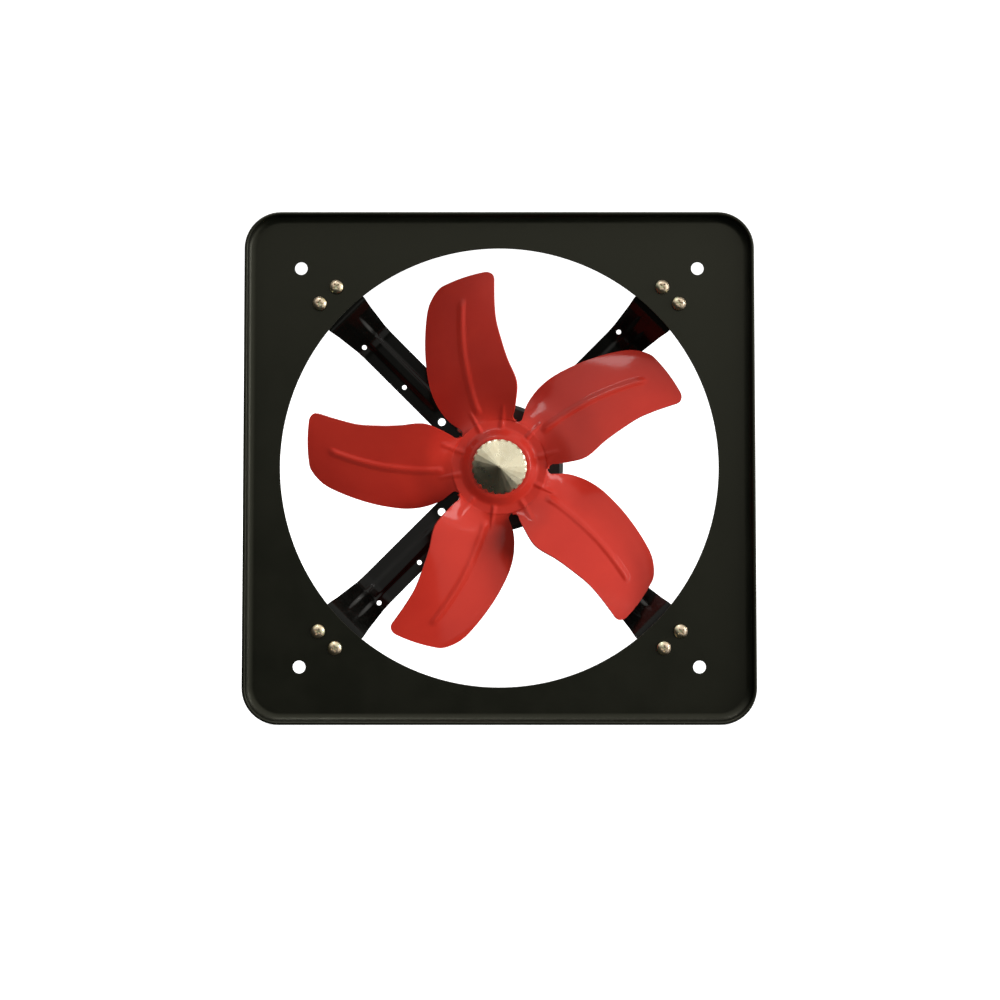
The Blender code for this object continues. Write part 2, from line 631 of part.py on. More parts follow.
def motor_bolts():
    seat = ARM_PAD_FRONT - GAP
    length = MOTOR_REAR - THROUGH_BOLT_SHORT - seat
    mesh = round_head_bolt("motor_bolt", THROUGH_BOLT, length,
                           THROUGH_BOLT_HEAD, THROUGH_BOLT_HEAD_HEIGHT)
    for angle, arm_name in zip(ARM_ANGLES, ARM_NAMES):
        x, z = diagonal(THROUGH_BOLT_RADIUS, angle)
        place(f"motor_bolt_{arm_name}", mesh, bright_steel(), (x, seat, z))


# ---- motor ----------------------------------------------------------------------------------
def bolt_hole_cutters(front, rear):
    cutters = []
    for angle in ARM_ANGLES:
        x, z = diagonal(THROUGH_BOLT_RADIUS, angle)
        cutters.append(hole(THROUGH_BOLT / 2 + GAP, front, rear, x, z))
    return cutters


def front_cover():
    face = MOTOR_FRONT
    joint = face + COVER_DEPTH
    spigot = SHELL_BORE - GAP
    tube_end = FRONT_BEARING + BEARING_TUBE_LENGTH
    nose = face - COVER_BOSS_HEIGHT
    inside = face + COVER_WALL
    shaft_hole = SHAFT_RADIUS + SHAFT_HOLE_CLEARANCE
    profile = [
        (shaft_hole, nose), (COVER_BOSS_RADIUS - COVER_BOSS_TAPER, nose), (COVER_BOSS_RADIUS, face),
        (MOTOR_RADIUS - COVER_EDGE, face), (MOTOR_RADIUS, face + COVER_EDGE), (MOTOR_RADIUS, joint),
        (spigot, joint), (spigot, joint + SPIGOT_LENGTH),
        (spigot - SPIGOT_WALL, joint + SPIGOT_LENGTH), (spigot - SPIGOT_WALL, inside),
        (COVER_BOSS_RADIUS, inside), (COVER_BOSS_RADIUS, tube_end), (BEARING_POCKET, tube_end),
        (BEARING_POCKET, FRONT_BEARING - GAP), (shaft_hole, FRONT_BEARING - GAP),
    ]
    mesh = cut(turned("front_cover", profile, FINE), *bolt_hole_cutters(face - DRILL, joint + DRILL))
    return place("front_cover", mesh, black_paint())


def rear_cover():
    face = MOTOR_REAR
    joint = SHELL_REAR + GAP
    spigot = SHELL_BORE - GAP
    tube_end = REAR_POCKET_BOTTOM - 2 * GAP - PRELOAD_THICKNESS - BEARING_TUBE_LENGTH
    inside = face - REAR_COVER_WALL
    profile = [
        (0, face), (MOTOR_RADIUS - COVER_EDGE, face), (MOTOR_RADIUS, face - COVER_EDGE),
        (MOTOR_RADIUS, joint), (spigot, joint), (spigot, joint - SPIGOT_LENGTH),
        (spigot - SPIGOT_WALL, joint - SPIGOT_LENGTH), (spigot - SPIGOT_WALL, inside),
        (COVER_BOSS_RADIUS, inside), (COVER_BOSS_RADIUS, tube_end), (BEARING_POCKET, tube_end),
        (BEARING_POCKET, REAR_POCKET_BOTTOM), (0, REAR_POCKET_BOTTOM),
    ]
    cutters = bolt_hole_cutters(joint - DRILL, face + DRILL)
    for x in (-BOX_SCREW_X, BOX_SCREW_X):
        cutters.append(hole(SCREW_RADIUS + GAP, face - REAR_COVER_WALL * 0.8, face + DRILL, x))
    return place("rear_cover", cut(turned("rear_cover", profile, FINE), *cutters), black_paint())


def motor_shell():
    profile = [(SHELL_BORE, SHELL_FRONT), (MOTOR_RADIUS, SHELL_FRONT),
               (MOTOR_RADIUS, SHELL_REAR), (SHELL_BORE, SHELL_REAR)]
    return place("motor_shell", turned("motor_shell", profile, FINE), black_paint())


def slot_points(angle, root, half_mouth, half_slot):
    """The outline of one stator slot, from the bore outward and back."""
    bore = STATOR_BORE_RADIUS
    mouth = bore + SLOT_MOUTH_DEPTH
    shoulder = mouth + SLOT_SHOULDER
    half_root = half_slot * 0.9
    steps = ((bore, -half_mouth), (mouth, -half_mouth), (shoulder, -half_slot),
             (root, -half_root), (root, half_root), (shoulder, half_slot),
             (mouth, half_mouth), (bore, half_mouth))
    return [diagonal(radius, angle, side) for radius, side in steps]


def stator_core():
    bore_outline = []
    pitch = 360 / SLOT_COUNT
    for slot in range(SLOT_COUNT):
        angle = slot * pitch
        outline = slot_points(angle, SLOT_BOTTOM, SLOT_MOUTH_WIDTH / 2, SLOT_WIDTH / 2)
        mouth = math.degrees(math.asin(SLOT_MOUTH_WIDTH / 2 / STATOR_BORE_RADIUS))
        bore_outline += [diagonal(STATOR_BORE_RADIUS, angle - mouth)] + outline[1:-1]
        bore_outline.append(diagonal(STATOR_BORE_RADIUS, angle + mouth))
        bore_outline.append(diagonal(STATOR_BORE_RADIUS, angle + pitch / 2))
    core = extruded("stator_core", circle(SHELL_BORE - GAP, FINE), STATOR_FRONT, STATOR_REAR)
    reach = (STATOR_FRONT - DRILL, STATOR_REAR + DRILL)
    cutters = [extruded("slots", bore_outline, *reach)]
    mesh = cut(core, *cutters, *bolt_hole_cutters(*reach))
    return place("stator_core", mesh, core_steel())


def stator_winding():
    """One winding: a coil ring on each end of the core, joined by the wires in the slots."""
    def ring(near, far):
        middle = (COIL_INNER_RADIUS + COIL_OUTER_RADIUS) / 2
        soft = COIL_ROUNDING
        profile = [(COIL_INNER_RADIUS, near), (COIL_INNER_RADIUS, far - soft),
                   (COIL_INNER_RADIUS + soft, far), (middle, far + soft * 0.3),
                   (COIL_OUTER_RADIUS - soft, far), (COIL_OUTER_RADIUS, far - soft),
                   (COIL_OUTER_RADIUS, near)]
        return turned("coil_ring", profile, MEDIUM)
    front = ring(-STATOR_FRONT + GAP, -STATOR_FRONT + COIL_LENGTH)
    front = moved(front, Matrix.Scale(-1, 4, (0, 1, 0)))
    rear = ring(STATOR_REAR + GAP, STATOR_REAR + COIL_LENGTH)
    low = STATOR_BORE_RADIUS + SLOT_MOUTH_DEPTH + 2 * SLOT_SHOULDER
    high = SLOT_BOTTOM - GAP
    half = SLOT_WIDTH / 2 * 0.9 - GAP
    bars = []
    for slot in range(SLOT_COUNT):
        angle = slot * 360 / SLOT_COUNT
        corners = ((low, -half), (high, -half), (high, half), (low, half))
        outline = [diagonal(radius, angle, side) for radius, side in corners]
        bars.append(extruded("bar", outline, STATOR_FRONT - 0.002, STATOR_REAR + 0.002))
    mesh = unite(front, joined("bars", bars), rear)
    return place("stator_winding", mesh, copper_wire())


# ---- bearings -------------------------------------------------------------------------------
def groove(edge, side):
    """The arc of a ball groove, as (radius, y) points; side is 1 for the outer ring."""
    reach = BALL_DIAMETER / 2 + 1.5 * GAP
    half_angle = math.acos(abs(edge - BALL_PITCH_RADIUS) / reach)
    angles = [-half_angle, 0, half_angle]
    return [(BALL_PITCH_RADIUS + side * reach * math.cos(a), reach * math.sin(a)) for a in angles]


def bearing_ring_meshes():
    half = BEARING_WIDTH / 2
    outside = BEARING_OUTER / 2
    bore = BEARING_BORE / 2
    outer_edge = BALL_PITCH_RADIUS + RING_SHOULDER
    inner_edge = BALL_PITCH_RADIUS - RING_SHOULDER
    outer = [(outside, -half), (outside, half), (outer_edge, half)]
    outer += groove(outer_edge, 1)[::-1] + [(outer_edge, -half)]
    inner = [(bore, half), (bore, -half), (inner_edge, -half)]
    inner += groove(inner_edge, -1) + [(inner_edge, half)]
    return turned("bearing_outer", outer, MEDIUM), turned("bearing_inner", inner, MEDIUM)


def ball_cage_mesh():
    """The balls held in their cage, as one solid."""
    half = BALL_DIAMETER / 2 * 0.8
    wall = CAGE_WALL / 2
    profile = [(BALL_PITCH_RADIUS - wall, -half), (BALL_PITCH_RADIUS + wall, -half),
               (BALL_PITCH_RADIUS + wall, half), (BALL_PITCH_RADIUS - wall, half)]
    cage = turned("ball_cage", profile, 3 * BALL_COUNT)
    balls = []
    for i in range(BALL_COUNT):
        x, z = diagonal(BALL_PITCH_RADIUS, (i + 0.5) * 360 / BALL_COUNT)
        bm = bmesh.new()
        place_at = Matrix.Translation((x, 0, z))
        bmesh.ops.create_icosphere(bm, subdivisions=1, radius=BALL_DIAMETER / 2, matrix=place_at)
        balls.append(to_mesh("ball", bm))
    return unite(cage, joined("balls", balls))


def bearings(spin_axis):
    outer, inner = bearing_ring_meshes()
    cage = ball_cage_mesh()
    for end, front in (("front", FRONT_BEARING), ("rear", REAR_BEARING)):
        centre = (0, front + BEARING_WIDTH / 2, 0)
        place(f"{end}_bearing_outer_ring", outer, bright_steel(), centre)
        place(f"{end}_bearing_inner_ring", inner, bright_steel(), centre, parent=spin_axis)
        cage_axis = axis_empty(f"{end}_cage_axis", centre)
        place(f"{end}_bearing_balls", cage, bright_steel(), parent=cage_axis)


def preload_washer():
    """A three-wave spring washer behind the rear bearing."""
    steps = 36
    outer = BEARING_OUTER / 2 - GAP
    inner = BALL_PITCH_RADIUS + RING_SHOULDER
    sheet = PRELOAD_SHEET
    wave = (PRELOAD_THICKNESS - sheet) / 2
    middle = REAR_POCKET_BOTTOM - GAP - PRELOAD_THICKNESS / 2
    bm = bmesh.new()
    loops = []
    for radius, side in ((inner, -1), (outer, -1), (outer, 1), (inner, 1)):
        loop = []
        for i in range(steps):
            angle = math.tau * i / steps
            y = middle + wave * math.sin(3 * angle) + side * sheet / 2
            loop.append(bm.verts.new((radius * math.cos(angle), y, radius * math.sin(angle))))
        loops.append(loop)
    for near, far in zip(loops, loops[1:] + loops[:1]):
        for i in range(steps):
            k = (i + 1) % steps
            bm.faces.new((near[i], near[k], far[k], far[i]))
    return place("preload_washer", to_mesh("preload_washer", bm, 35), bright_steel())


# ---- rotor and hub --------------------------------------------------------------------------
def shaft(spin_axis):
    thread_end = BOSS_FRONT - GAP
    seat_front = FRONT_BEARING + BEARING_WIDTH + GAP
    collar = STATOR_REAR + 0.001
    rear = REAR_BEARING + BEARING_WIDTH
    chamfer = SHAFT_CHAMFER
    profile = [
        (0, SHAFT_FRONT), (SHAFT_THREAD_RADIUS - chamfer, SHAFT_FRONT),
        (SHAFT_THREAD_RADIUS, SHAFT_FRONT + chamfer), (SHAFT_THREAD_RADIUS, thread_end),
        (SHAFT_RADIUS, thread_end), (SHAFT_RADIUS, seat_front), (ROTOR_SEAT_RADIUS, seat_front),
        (ROTOR_SEAT_RADIUS, collar), (SHAFT_COLLAR_RADIUS, collar),
        (SHAFT_COLLAR_RADIUS, REAR_BEARING - GAP), (SHAFT_RADIUS, REAR_BEARING - GAP),
        (SHAFT_RADIUS, rear - chamfer), (SHAFT_RADIUS - chamfer, rear), (0, rear),
    ]
    return place("shaft", turned("shaft", profile, COARSE), bright_steel(), parent=spin_axis)


def rotor_core(spin_axis):
    outside = STATOR_BORE_RADIUS - AIR_GAP
    bore = ROTOR_SEAT_RADIUS + GAP
    ring = outside - ROTOR_RING_CHAMFER
    front = STATOR_FRONT
    rear = STATOR_REAR
    end = 0.001 - GAP
    neck = ring - ROTOR_RING_WIDTH
    front_ring = front - ROTOR_RING_LENGTH
    rear_ring = rear + ROTOR_RING_LENGTH
    profile = [
        (bore, front - end), (neck, front - end), (neck, front_ring), (ring, front_ring),
        (outside, front), (outside, rear), (ring, rear_ring), (neck, rear_ring),
        (neck, rear + end), (bore, rear + end),
    ]
    return place("rotor_core", turned("rotor_core", profile, FINE), core_steel(), parent=spin_axis)


def hub_boss(spin_axis):
    bore = SHAFT_RADIUS + GAP
    profile = [
        (bore, BOSS_FRONT), (BOSS_FLANGE_RADIUS, BOSS_FRONT),
        (BOSS_FLANGE_RADIUS, BOSS_FRONT + BOSS_FLANGE), (BOSS_RADIUS, BOSS_FRONT + BOSS_FLANGE),
        (BOSS_RADIUS, BOSS_REAR), (bore, BOSS_REAR),
    ]
    screw_y = BOSS_REAR - 3 * GRUB_RADIUS
    drill = extruded("drill", circle(GRUB_RADIUS + GAP, SMALL), 0, 2 * BOSS_RADIUS)
    upright = Matrix.Translation((0, screw_y, 0)) @ Matrix.Rotation(math.pi / 2, 4, "X")
    mesh = cut(turned("hub_boss", profile, MEDIUM), moved(drill, upright))
    place("hub_boss", mesh, bright_steel(), parent=spin_axis)
    start = SHAFT_RADIUS + GAP
    screw = turned("grub_screw", [(0, start), (GRUB_RADIUS, start),
                                  (GRUB_RADIUS, BOSS_RADIUS - GAP), (0, BOSS_RADIUS - GAP)], SMALL)
    place("hub_grub_screw", moved(screw, upright), core_steel(), parent=spin_axis)


def tip_radius(t, width):
    """The tip's radius at a share t of the width, with both corners rounded."""
    radius = TIP_RADIUS_LEADING + (TIP_RADIUS_TRAILING - TIP_RADIUS_LEADING) * t
    for corner, distance in ((TIP_CORNER_LEADING, t * width),
                             (TIP_CORNER_TRAILING, (1 - t) * width)):
        if distance < corner:
            radius -= corner - math.sqrt(corner**2 - (corner - distance)**2)
    return radius


def blade_edges(radius):
    """Angles of a blade's leading and trailing edges at a radius, from its centre line."""
    slot_end = HUB_RADIUS + SLOT_HALF_WIDTH
    if radius > slot_end + SLOT_BLEND:
        return along(LEADING_EDGE, radius), along(TRAILING_EDGE, radius)
    inset = max(slot_end - radius, 0.0)
    half = math.sqrt(max(SLOT_HALF_WIDTH**2 - inset**2, 0.0))
    half_angle = math.degrees(half / radius)
    return SLOT_CENTRE + half_angle, SLOT_CENTRE + 360 / BLADE_COUNT - half_angle


def blade_point(s, u):
    """A blade's front face at a share s of its length and u of its width."""
    tip_width = TIP_RADIUS_LEADING * math.radians(
        along(TRAILING_EDGE, TIP_RADIUS_TRAILING) - along(LEADING_EDGE, TIP_RADIUS_TRAILING))
    radius = HUB_RADIUS + s * (tip_radius(u, tip_width) - HUB_RADIUS)
    leading, trailing = blade_edges(radius)
    bead = (along(BEAD_LINE, radius) - leading) / (trailing - leading)
    t = u + (bead - 0.5) * 4 * u * (1 - u)
    angle = leading + t * (trailing - leading)
    width = radius * math.radians(trailing - leading)
    rise = width * math.tan(math.radians(along(BLADE_PITCH, radius)))
    bend = smooth_step(HUB_RADIUS, HUB_RADIUS + BLADE_CAMBER_RUNIN, radius)
    y = HUB_BACK + rise * (t - 0.5) - BLADE_CAMBER * 4 * t * (1 - t) * bend
    off_bead = abs(t - bead) * width / BLADE_BEAD_HALF_WIDTH
    if off_bead < 1:
        ends = (smooth_step(BLADE_BEAD_START, BLADE_BEAD_START + BLADE_BEAD_RUNOUT, radius)
                * (1 - smooth_step(BLADE_BEAD_END - BLADE_BEAD_RUNOUT, BLADE_BEAD_END, radius)))
        y -= BLADE_BEAD_HEIGHT * 0.5 * (1 + math.cos(math.pi * off_bead)) * ends
    return radius, angle, y


def impeller(spin_axis):
    """One stamping: a stepped centre and the pitched blades that grow out of it."""
    across = (0, 0.06, 0.43, 0.5, 0.57, 0.94, 1)
    tip = TIP_RADIUS_LEADING - HUB_RADIUS
    root_steps = (0.0006, 0.0021, 0.0042)
    outer_shares = (0.10, 0.19, 0.33, 0.50, 0.69, 0.83, 0.915, 1)
    lengths = [0] + [step / tip for step in root_steps] + list(outer_shares)
    centre = ((SHAFT_THREAD_RADIUS + GAP, HUB_FRONT), (HUB_FLAT_RADIUS, HUB_FRONT),
              ((HUB_FLAT_RADIUS + HUB_STEP_RADIUS) / 2, HUB_FRONT + HUB_STEP * 0.55),
              (HUB_STEP_RADIUS, HUB_BACK))
    bm = bmesh.new()

    def add(radius, angle, y):
        x, z = diagonal(radius, angle)
        return bm.verts.new((x, y, z))

    for blade in range(BLADE_COUNT):
        turn = BLADE_ANGLE - blade * 360 / BLADE_COUNT
        grid = []
        for radius, y in centre:
            row = []
            for u in across:
                _, angle, _ = blade_point(0, u)
                row.append(add(radius, turn + angle, y))
            grid.append(row)
        for s in lengths:
            row = []
            for u in across:
                radius, angle, y = blade_point(s, u)
                row.append(add(radius, turn + angle, y))
            grid.append(row)
        for near, far in zip(grid, grid[1:]):
            for i in range(len(across) - 1):
                bm.faces.new((near[i], near[i + 1], far[i + 1], far[i]))
    bmesh.ops.remove_doubles(bm, verts=bm.verts, dist=2e-5)
    bmesh.ops.recalc_face_normals(bm, faces=bm.faces)
    if sum(face.normal.y * face.calc_area() for face in bm.faces) > 0:
        bmesh.ops.reverse_faces(bm, faces=bm.faces)
    sheet = bpy.data.meshes.new("impeller")
    bm.to_mesh(sheet)
    bm.free()
    mesh = solidified(sheet, BLADE_SHEET, 40)
    return place("impeller", mesh, red_enamel(), parent=spin_axis)


def lock_washer(spin_axis):
    """An external-tooth washer under the spinner nut."""
    outline = []
    for i in range(2 * WASHER_TEETH):
        radius = WASHER_RADIUS if i % 2 else WASHER_RADIUS - WASHER_TOOTH
        outline.append(diagonal(radius, i * 180 / WASHER_TEETH))
    front = SPINNER_BASE - WASHER_THICKNESS
    mesh = extruded("lock_washer", outline, front, SPINNER_BASE, 20)
    mesh = cut(mesh, hole(SHAFT_THREAD_RADIUS + GAP, front - DRILL, SPINNER_BASE + DRILL))
    return place("lock_washer", mesh, bright_steel(), parent=spin_axis)


def spinner_nut(spin_axis):
    """The faceted cone nut that holds the impeller, with a notched rim."""
    rim_front = SPINNER_BASE - SPINNER_RIM
    apex = SPINNER_BASE - SPINNER_HEIGHT
    sides = 2 * SPINNER_FACETS
    bm = bmesh.new()
    loops = []
    crown = SPINNER_RADIUS - SPINNER_RIM_CHAMFER
    for radius, dip, y in ((SPINNER_RADIUS, 0.0, SPINNER_BASE),
                           (SPINNER_RADIUS, SPINNER_NOTCH, SPINNER_BASE - SPINNER_RIM * 0.3),
                           (SPINNER_RADIUS, SPINNER_NOTCH, rim_front),
                           (crown, 0.0, rim_front - SPINNER_RIM_CHAMFER / 2)):
        loop = []
        for i in range(sides):
            x, z = diagonal(radius - dip * (i % 2), i * 360 / sides)
            loop.append(bm.verts.new((x, y, z)))
        loops.append(loop)
    for near, far in zip(loops, loops[1:]):
        for i in range(sides):
            k = (i + 1) % sides
            bm.faces.new((near[i], near[k], far[k], far[i]))
    point = bm.verts.new((0, apex, 0))
    for i in range(sides):
        bm.faces.new((loops[-1][i], loops[-1][(i + 1) % sides], point))
    bm.faces.new(loops[0])
    mesh = to_mesh("spinner_nut", bm, 8)
    seat = SPINNER_BASE - WASHER_THICKNESS - GAP
    recess = hole(WASHER_RADIUS + GAP, seat, SPINNER_BASE + DRILL, steps=MEDIUM)
    mesh = cut(mesh, recess)
    mesh = cut(mesh, hole(SHAFT_THREAD_RADIUS + GAP, SHAFT_FRONT - GAP, SPINNER_BASE + DRILL))
    return place("spinner_nut", mesh, plated_nut(), parent=spin_axis)


# ---- terminal box ---------------------------------------------------------------------------
def lid_screw_places():
    inset = BOX_WALL + LID_BOSS_RADIUS - LID_BOSS_BITE
    x = BOX_WIDTH / 2 - inset
    z = BOX_HEIGHT / 2 - inset
    return ((-x, z), (x, -z))


def terminal_box():
    half_x = BOX_WIDTH / 2
    half_z = BOX_HEIGHT / 2
    outline = rounded_rectangle(half_x, half_z, BOX_CORNER, 4)
    inner = rounded_rectangle(half_x - BOX_WALL, half_z - BOX_WALL, BOX_CORNER - BOX_WALL, 4)
    mesh = extruded("terminal_box", outline, BOX_FRONT, BOX_REAR)
    mesh = cut(mesh, extruded("hollow", inner, BOX_FRONT + BOX_WALL, BOX_REAR + DRILL))
    bosses = [extruded("boss", circle(LID_BOSS_RADIUS, SMALL, x, z), BOX_FRONT + BOX_WALL / 2,
                       BOX_REAR - GAP) for x, z in lid_screw_places()]
    mesh = unite(mesh, joined("bosses", bosses))
    cutters = [hole(SCREW_RADIUS + GAP, BOX_REAR - LID_SCREW_LENGTH, BOX_REAR + DRILL, x, z)
               for x, z in lid_screw_places()]
    for x in (-BOX_SCREW_X, BOX_SCREW_X):
        cutters.append(hole(SCREW_RADIUS + GAP, BOX_FRONT - DRILL, BOX_FRONT + DRILL, x))
    entry = extruded("entry", circle(GLAND_THREAD_RADIUS + GAP, COARSE), -DRILL, DRILL)
    floor = Matrix.Translation((0, GLAND_Y, -half_z)) @ Matrix.Rotation(math.pi / 2, 4, "X")
    mesh = cut(mesh, *cutters, moved(entry, floor))
    return place("terminal_box", mesh, black_plastic())


def box_lid():
    front = BOX_REAR + GAP
    outline = rounded_rectangle(BOX_WIDTH / 2, BOX_HEIGHT / 2, BOX_CORNER, 4)
    mesh = extruded("box_lid", outline, front, front + LID_THICKNESS)
    cutters = [hole(SCREW_RADIUS + GAP, front - DRILL, front + DRILL, x, z)
               for x, z in lid_screw_places()]
    return place("box_lid", cut(mesh, *cutters), black_plastic())


def rear_facing(mesh):
    """Turn a bolt so that its head faces the rear."""
    return moved(mesh, Matrix.Rotation(math.pi, 4, "X"))


def box_screws():
    lid_screw = rear_facing(round_head_bolt("lid_screw", 2 * SCREW_RADIUS, LID_SCREW_LENGTH,
                                            2 * SCREW_HEAD_RADIUS, SCREW_HEAD_HEIGHT))
    seat = BOX_REAR + GAP + LID_THICKNESS + GAP
    for number, (x, z) in enumerate(lid_screw_places(), 1):
        place(f"lid_screw_{number}", lid_screw, bright_steel(), (x, seat, z))
    box_screw = rear_facing(round_head_bolt("box_screw", 2 * SCREW_RADIUS, BOX_SCREW_LENGTH,
                                            2 * SCREW_HEAD_RADIUS, SCREW_HEAD_HEIGHT))
    seat = BOX_FRONT + BOX_WALL + GAP
    for number, x in enumerate((-BOX_SCREW_X, BOX_SCREW_X), 1):
        place(f"box_screw_{number}", box_screw, bright_steel(), (x, seat, 0))


def capacitor():
    radius = CAPACITOR_RADIUS
    half = CAPACITOR_LENGTH / 2
    chamfer = CAPACITOR_CHAMFER
    profile = [(0, -half), (radius - chamfer, -half), (radius, -half + chamfer),
               (radius, half - chamfer), (radius - chamfer, half), (0, half)]
    mesh = moved(turned("capacitor", profile, COARSE), Matrix.Rotation(math.pi / 2, 4, "Z"))
    y = BOX_FRONT + BOX_WALL + GAP + radius
    return place("capacitor", mesh, grey_plastic(), (0, y, CAPACITOR_Z))


def terminal_block():
    length, depth, height = TERMINAL_SIZE
    outline = [(-length / 2, -height / 2), (length / 2, -height / 2),
               (length / 2, height / 2), (-length / 2, height / 2)]
    mesh = extruded("terminal_block", outline, 0, depth)
    pole = length / 4
    cutters = [hole(TERMINAL_HOLE_RADIUS, depth * 0.4, depth + DRILL, x, 0, 8)
               for x in (-pole, 0, pole)]
    top = -SCREW_HEAD_RADIUS - TERMINAL_SCREW_CLEARANCE
    place_at = (0, BOX_FRONT + BOX_WALL + GAP, top - height / 2)
    return place("terminal_block", cut(mesh, *cutters), grey_plastic(), place_at)


def gland():
    """The cable gland in the floor of the box; its axis points down."""
    wall_low = BOX_HEIGHT / 2
    wall_high = wall_low - BOX_WALL
    inside_end = wall_high - 2 * GAP - GLAND_LOCK_HEIGHT - GAP
    hex_end = wall_low + GAP + GLAND_HEX_HEIGHT
    cap_front = hex_end + GAP
    cap_end = cap_front + GLAND_CAP_LENGTH
    cap_seat = cap_end - GLAND_CAP_END
    cap_bore = GLAND_NECK_RADIUS + GAP
    cap_radius = cap_bore + GLAND_CAP_WALL
    flip = Matrix.Translation((0, GLAND_Y, 0)) @ Matrix.Rotation(-math.pi / 2, 4, "X")

    def tube(name, outer, bore, start, end):
        return turned(name, [(bore, start), (outer, start), (outer, end), (bore, end)], COARSE)

    def hexagon(name, radius, bore, start, end):
        mesh = extruded(name, circle(radius, 6), start, end)
        return cut(mesh, hole(bore, start - DRILL, end + DRILL, steps=COARSE))

    body = tube("gland_body", GLAND_THREAD_RADIUS, GLAND_BORE, inside_end, hex_end)
    body = unite(body, hexagon("hex", GLAND_THREAD_RADIUS + GLAND_HEX_LAND,
                               GLAND_BORE + GLAND_NECK_WALL / 2, wall_low + GAP, hex_end))
    body = unite(body, tube("neck", GLAND_NECK_RADIUS, GLAND_BORE, hex_end - GLAND_HEX_HEIGHT / 4,
                            cap_seat - 2 * GAP))
    place("gland_body", moved(body, flip), black_plastic())
    profile = [(cap_bore, cap_front), (cap_radius, cap_front),
               (cap_radius, cap_end - GLAND_CAP_CHAMFER), (cap_radius - GLAND_CAP_CHAMFER, cap_end),
               (GLAND_BORE, cap_end), (GLAND_BORE, cap_seat), (cap_bore, cap_seat)]
    place("gland_cap_nut", moved(turned("gland_cap_nut", profile, COARSE), flip), black_plastic())
    lock = hexagon("gland_lock_nut", GLAND_THREAD_RADIUS + GLAND_LOCK_LAND,
                   GLAND_THREAD_RADIUS + GAP, wall_high - GAP - GLAND_LOCK_HEIGHT, wall_high - GAP)
    place("gland_lock_nut", moved(lock, flip), black_plastic())


# ---- the fan --------------------------------------------------------------------------------
def main():
    clear_scene()
    frame_plate()
    arms()
    frame_bolts()
    motor_bolts()
    front_cover()
    rear_cover()
    motor_shell()
    stator_core()
    stator_winding()
    spin_axis = axis_empty("impeller_axis")
    bearings(spin_axis)
    preload_washer()
    shaft(spin_axis)
    rotor_core(spin_axis)
    hub_boss(spin_axis)
    impeller(spin_axis)
    lock_washer(spin_axis)
    spinner_nut(spin_axis)
    terminal_box()
    box_lid()
    box_screws()
    capacitor()
    terminal_block()
    gland()


main()
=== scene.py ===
# %% [markdown]
# # An exhaust hood fan
# The look of a square plate fan: a black pressed frame, four arms, a motor behind and a red
# five-blade impeller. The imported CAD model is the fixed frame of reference. Each step below
# makes a few pieces and says what it made.
#
# X runs to the right, Z up, and the intake side faces -Y. Lengths are in metres.

# %% The tools
import json
import math

import bmesh
import bpy
from mathutils import Matrix, Vector


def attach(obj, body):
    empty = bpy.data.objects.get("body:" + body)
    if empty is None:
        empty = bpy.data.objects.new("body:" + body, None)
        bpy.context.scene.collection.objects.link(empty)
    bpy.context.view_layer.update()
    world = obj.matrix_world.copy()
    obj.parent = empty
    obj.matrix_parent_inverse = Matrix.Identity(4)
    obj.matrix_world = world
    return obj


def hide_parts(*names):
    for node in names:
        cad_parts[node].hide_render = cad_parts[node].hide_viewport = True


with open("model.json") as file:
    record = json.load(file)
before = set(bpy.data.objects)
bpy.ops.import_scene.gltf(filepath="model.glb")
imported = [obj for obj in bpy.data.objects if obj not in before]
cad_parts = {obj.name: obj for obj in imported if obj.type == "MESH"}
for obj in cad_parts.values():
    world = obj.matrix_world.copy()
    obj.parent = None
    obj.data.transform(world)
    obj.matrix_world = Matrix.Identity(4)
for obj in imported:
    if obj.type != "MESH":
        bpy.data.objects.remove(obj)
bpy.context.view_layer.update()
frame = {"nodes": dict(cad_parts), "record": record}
scene = bpy.context.scene
print("CAD nodes:", len(frame["nodes"]))

# %% [markdown]
# ## Camera
# A little below the middle of the fan, looking up at it, as a product camera on a low stand.

# %% Camera
AIM = Vector((0.0005, 0.0, 0.0))
DISTANCE = 1.10
BELOW = math.radians(0.3)        # the camera stands this little below the fan's middle
TILT = math.radians(2.4)         # and looks up by this
LENS_SHIFT = -0.0875             # the fan stands a little above the picture's middle
LENS = 53.2                      # focal length and sensor width in millimetres
SENSOR = 36.0


def make_camera():
    data = bpy.data.cameras.new("camera")
    data.sensor_width = SENSOR
    data.lens = LENS
    camera = bpy.data.objects.new("camera", data)
    scene.collection.objects.link(camera)
    data.shift_y = LENS_SHIFT
    camera.location = AIM + DISTANCE * Vector((0, -math.cos(BELOW), -math.sin(BELOW)))
    camera.rotation_euler = (math.radians(90) + TILT, 0, 0)
    scene.camera = camera
    return camera


camera = make_camera()
scene.view_settings.view_transform = "Standard"
print("camera at", [round(v, 3) for v in camera.location])

# %% [markdown]
# ## Shader tools
# Short ways to add and link shader nodes. The light, the stage and every finish use them.

# %% Shader tools


def principled(name):
    """A new material and its shader."""
    material = bpy.data.materials.new(name)
    material.use_nodes = True
    return material, material.node_tree.nodes["Principled BSDF"]


def node(tree, kind, settings=None, **inputs):
    """Add a shader node; an input is a value or another node's output, by name or _number."""
    made = tree.nodes.new("ShaderNode" + kind)
    for key, value in (settings or {}).items():
        setattr(made, key, value)
    for key, value in inputs.items():
        socket = made.inputs[int(key[1:])] if key[0] == "_" else made.inputs[key.replace("_", " ")]
        if isinstance(value, bpy.types.NodeSocket):
            tree.links.new(value, socket)
        else:
            socket.default_value = value
    return made


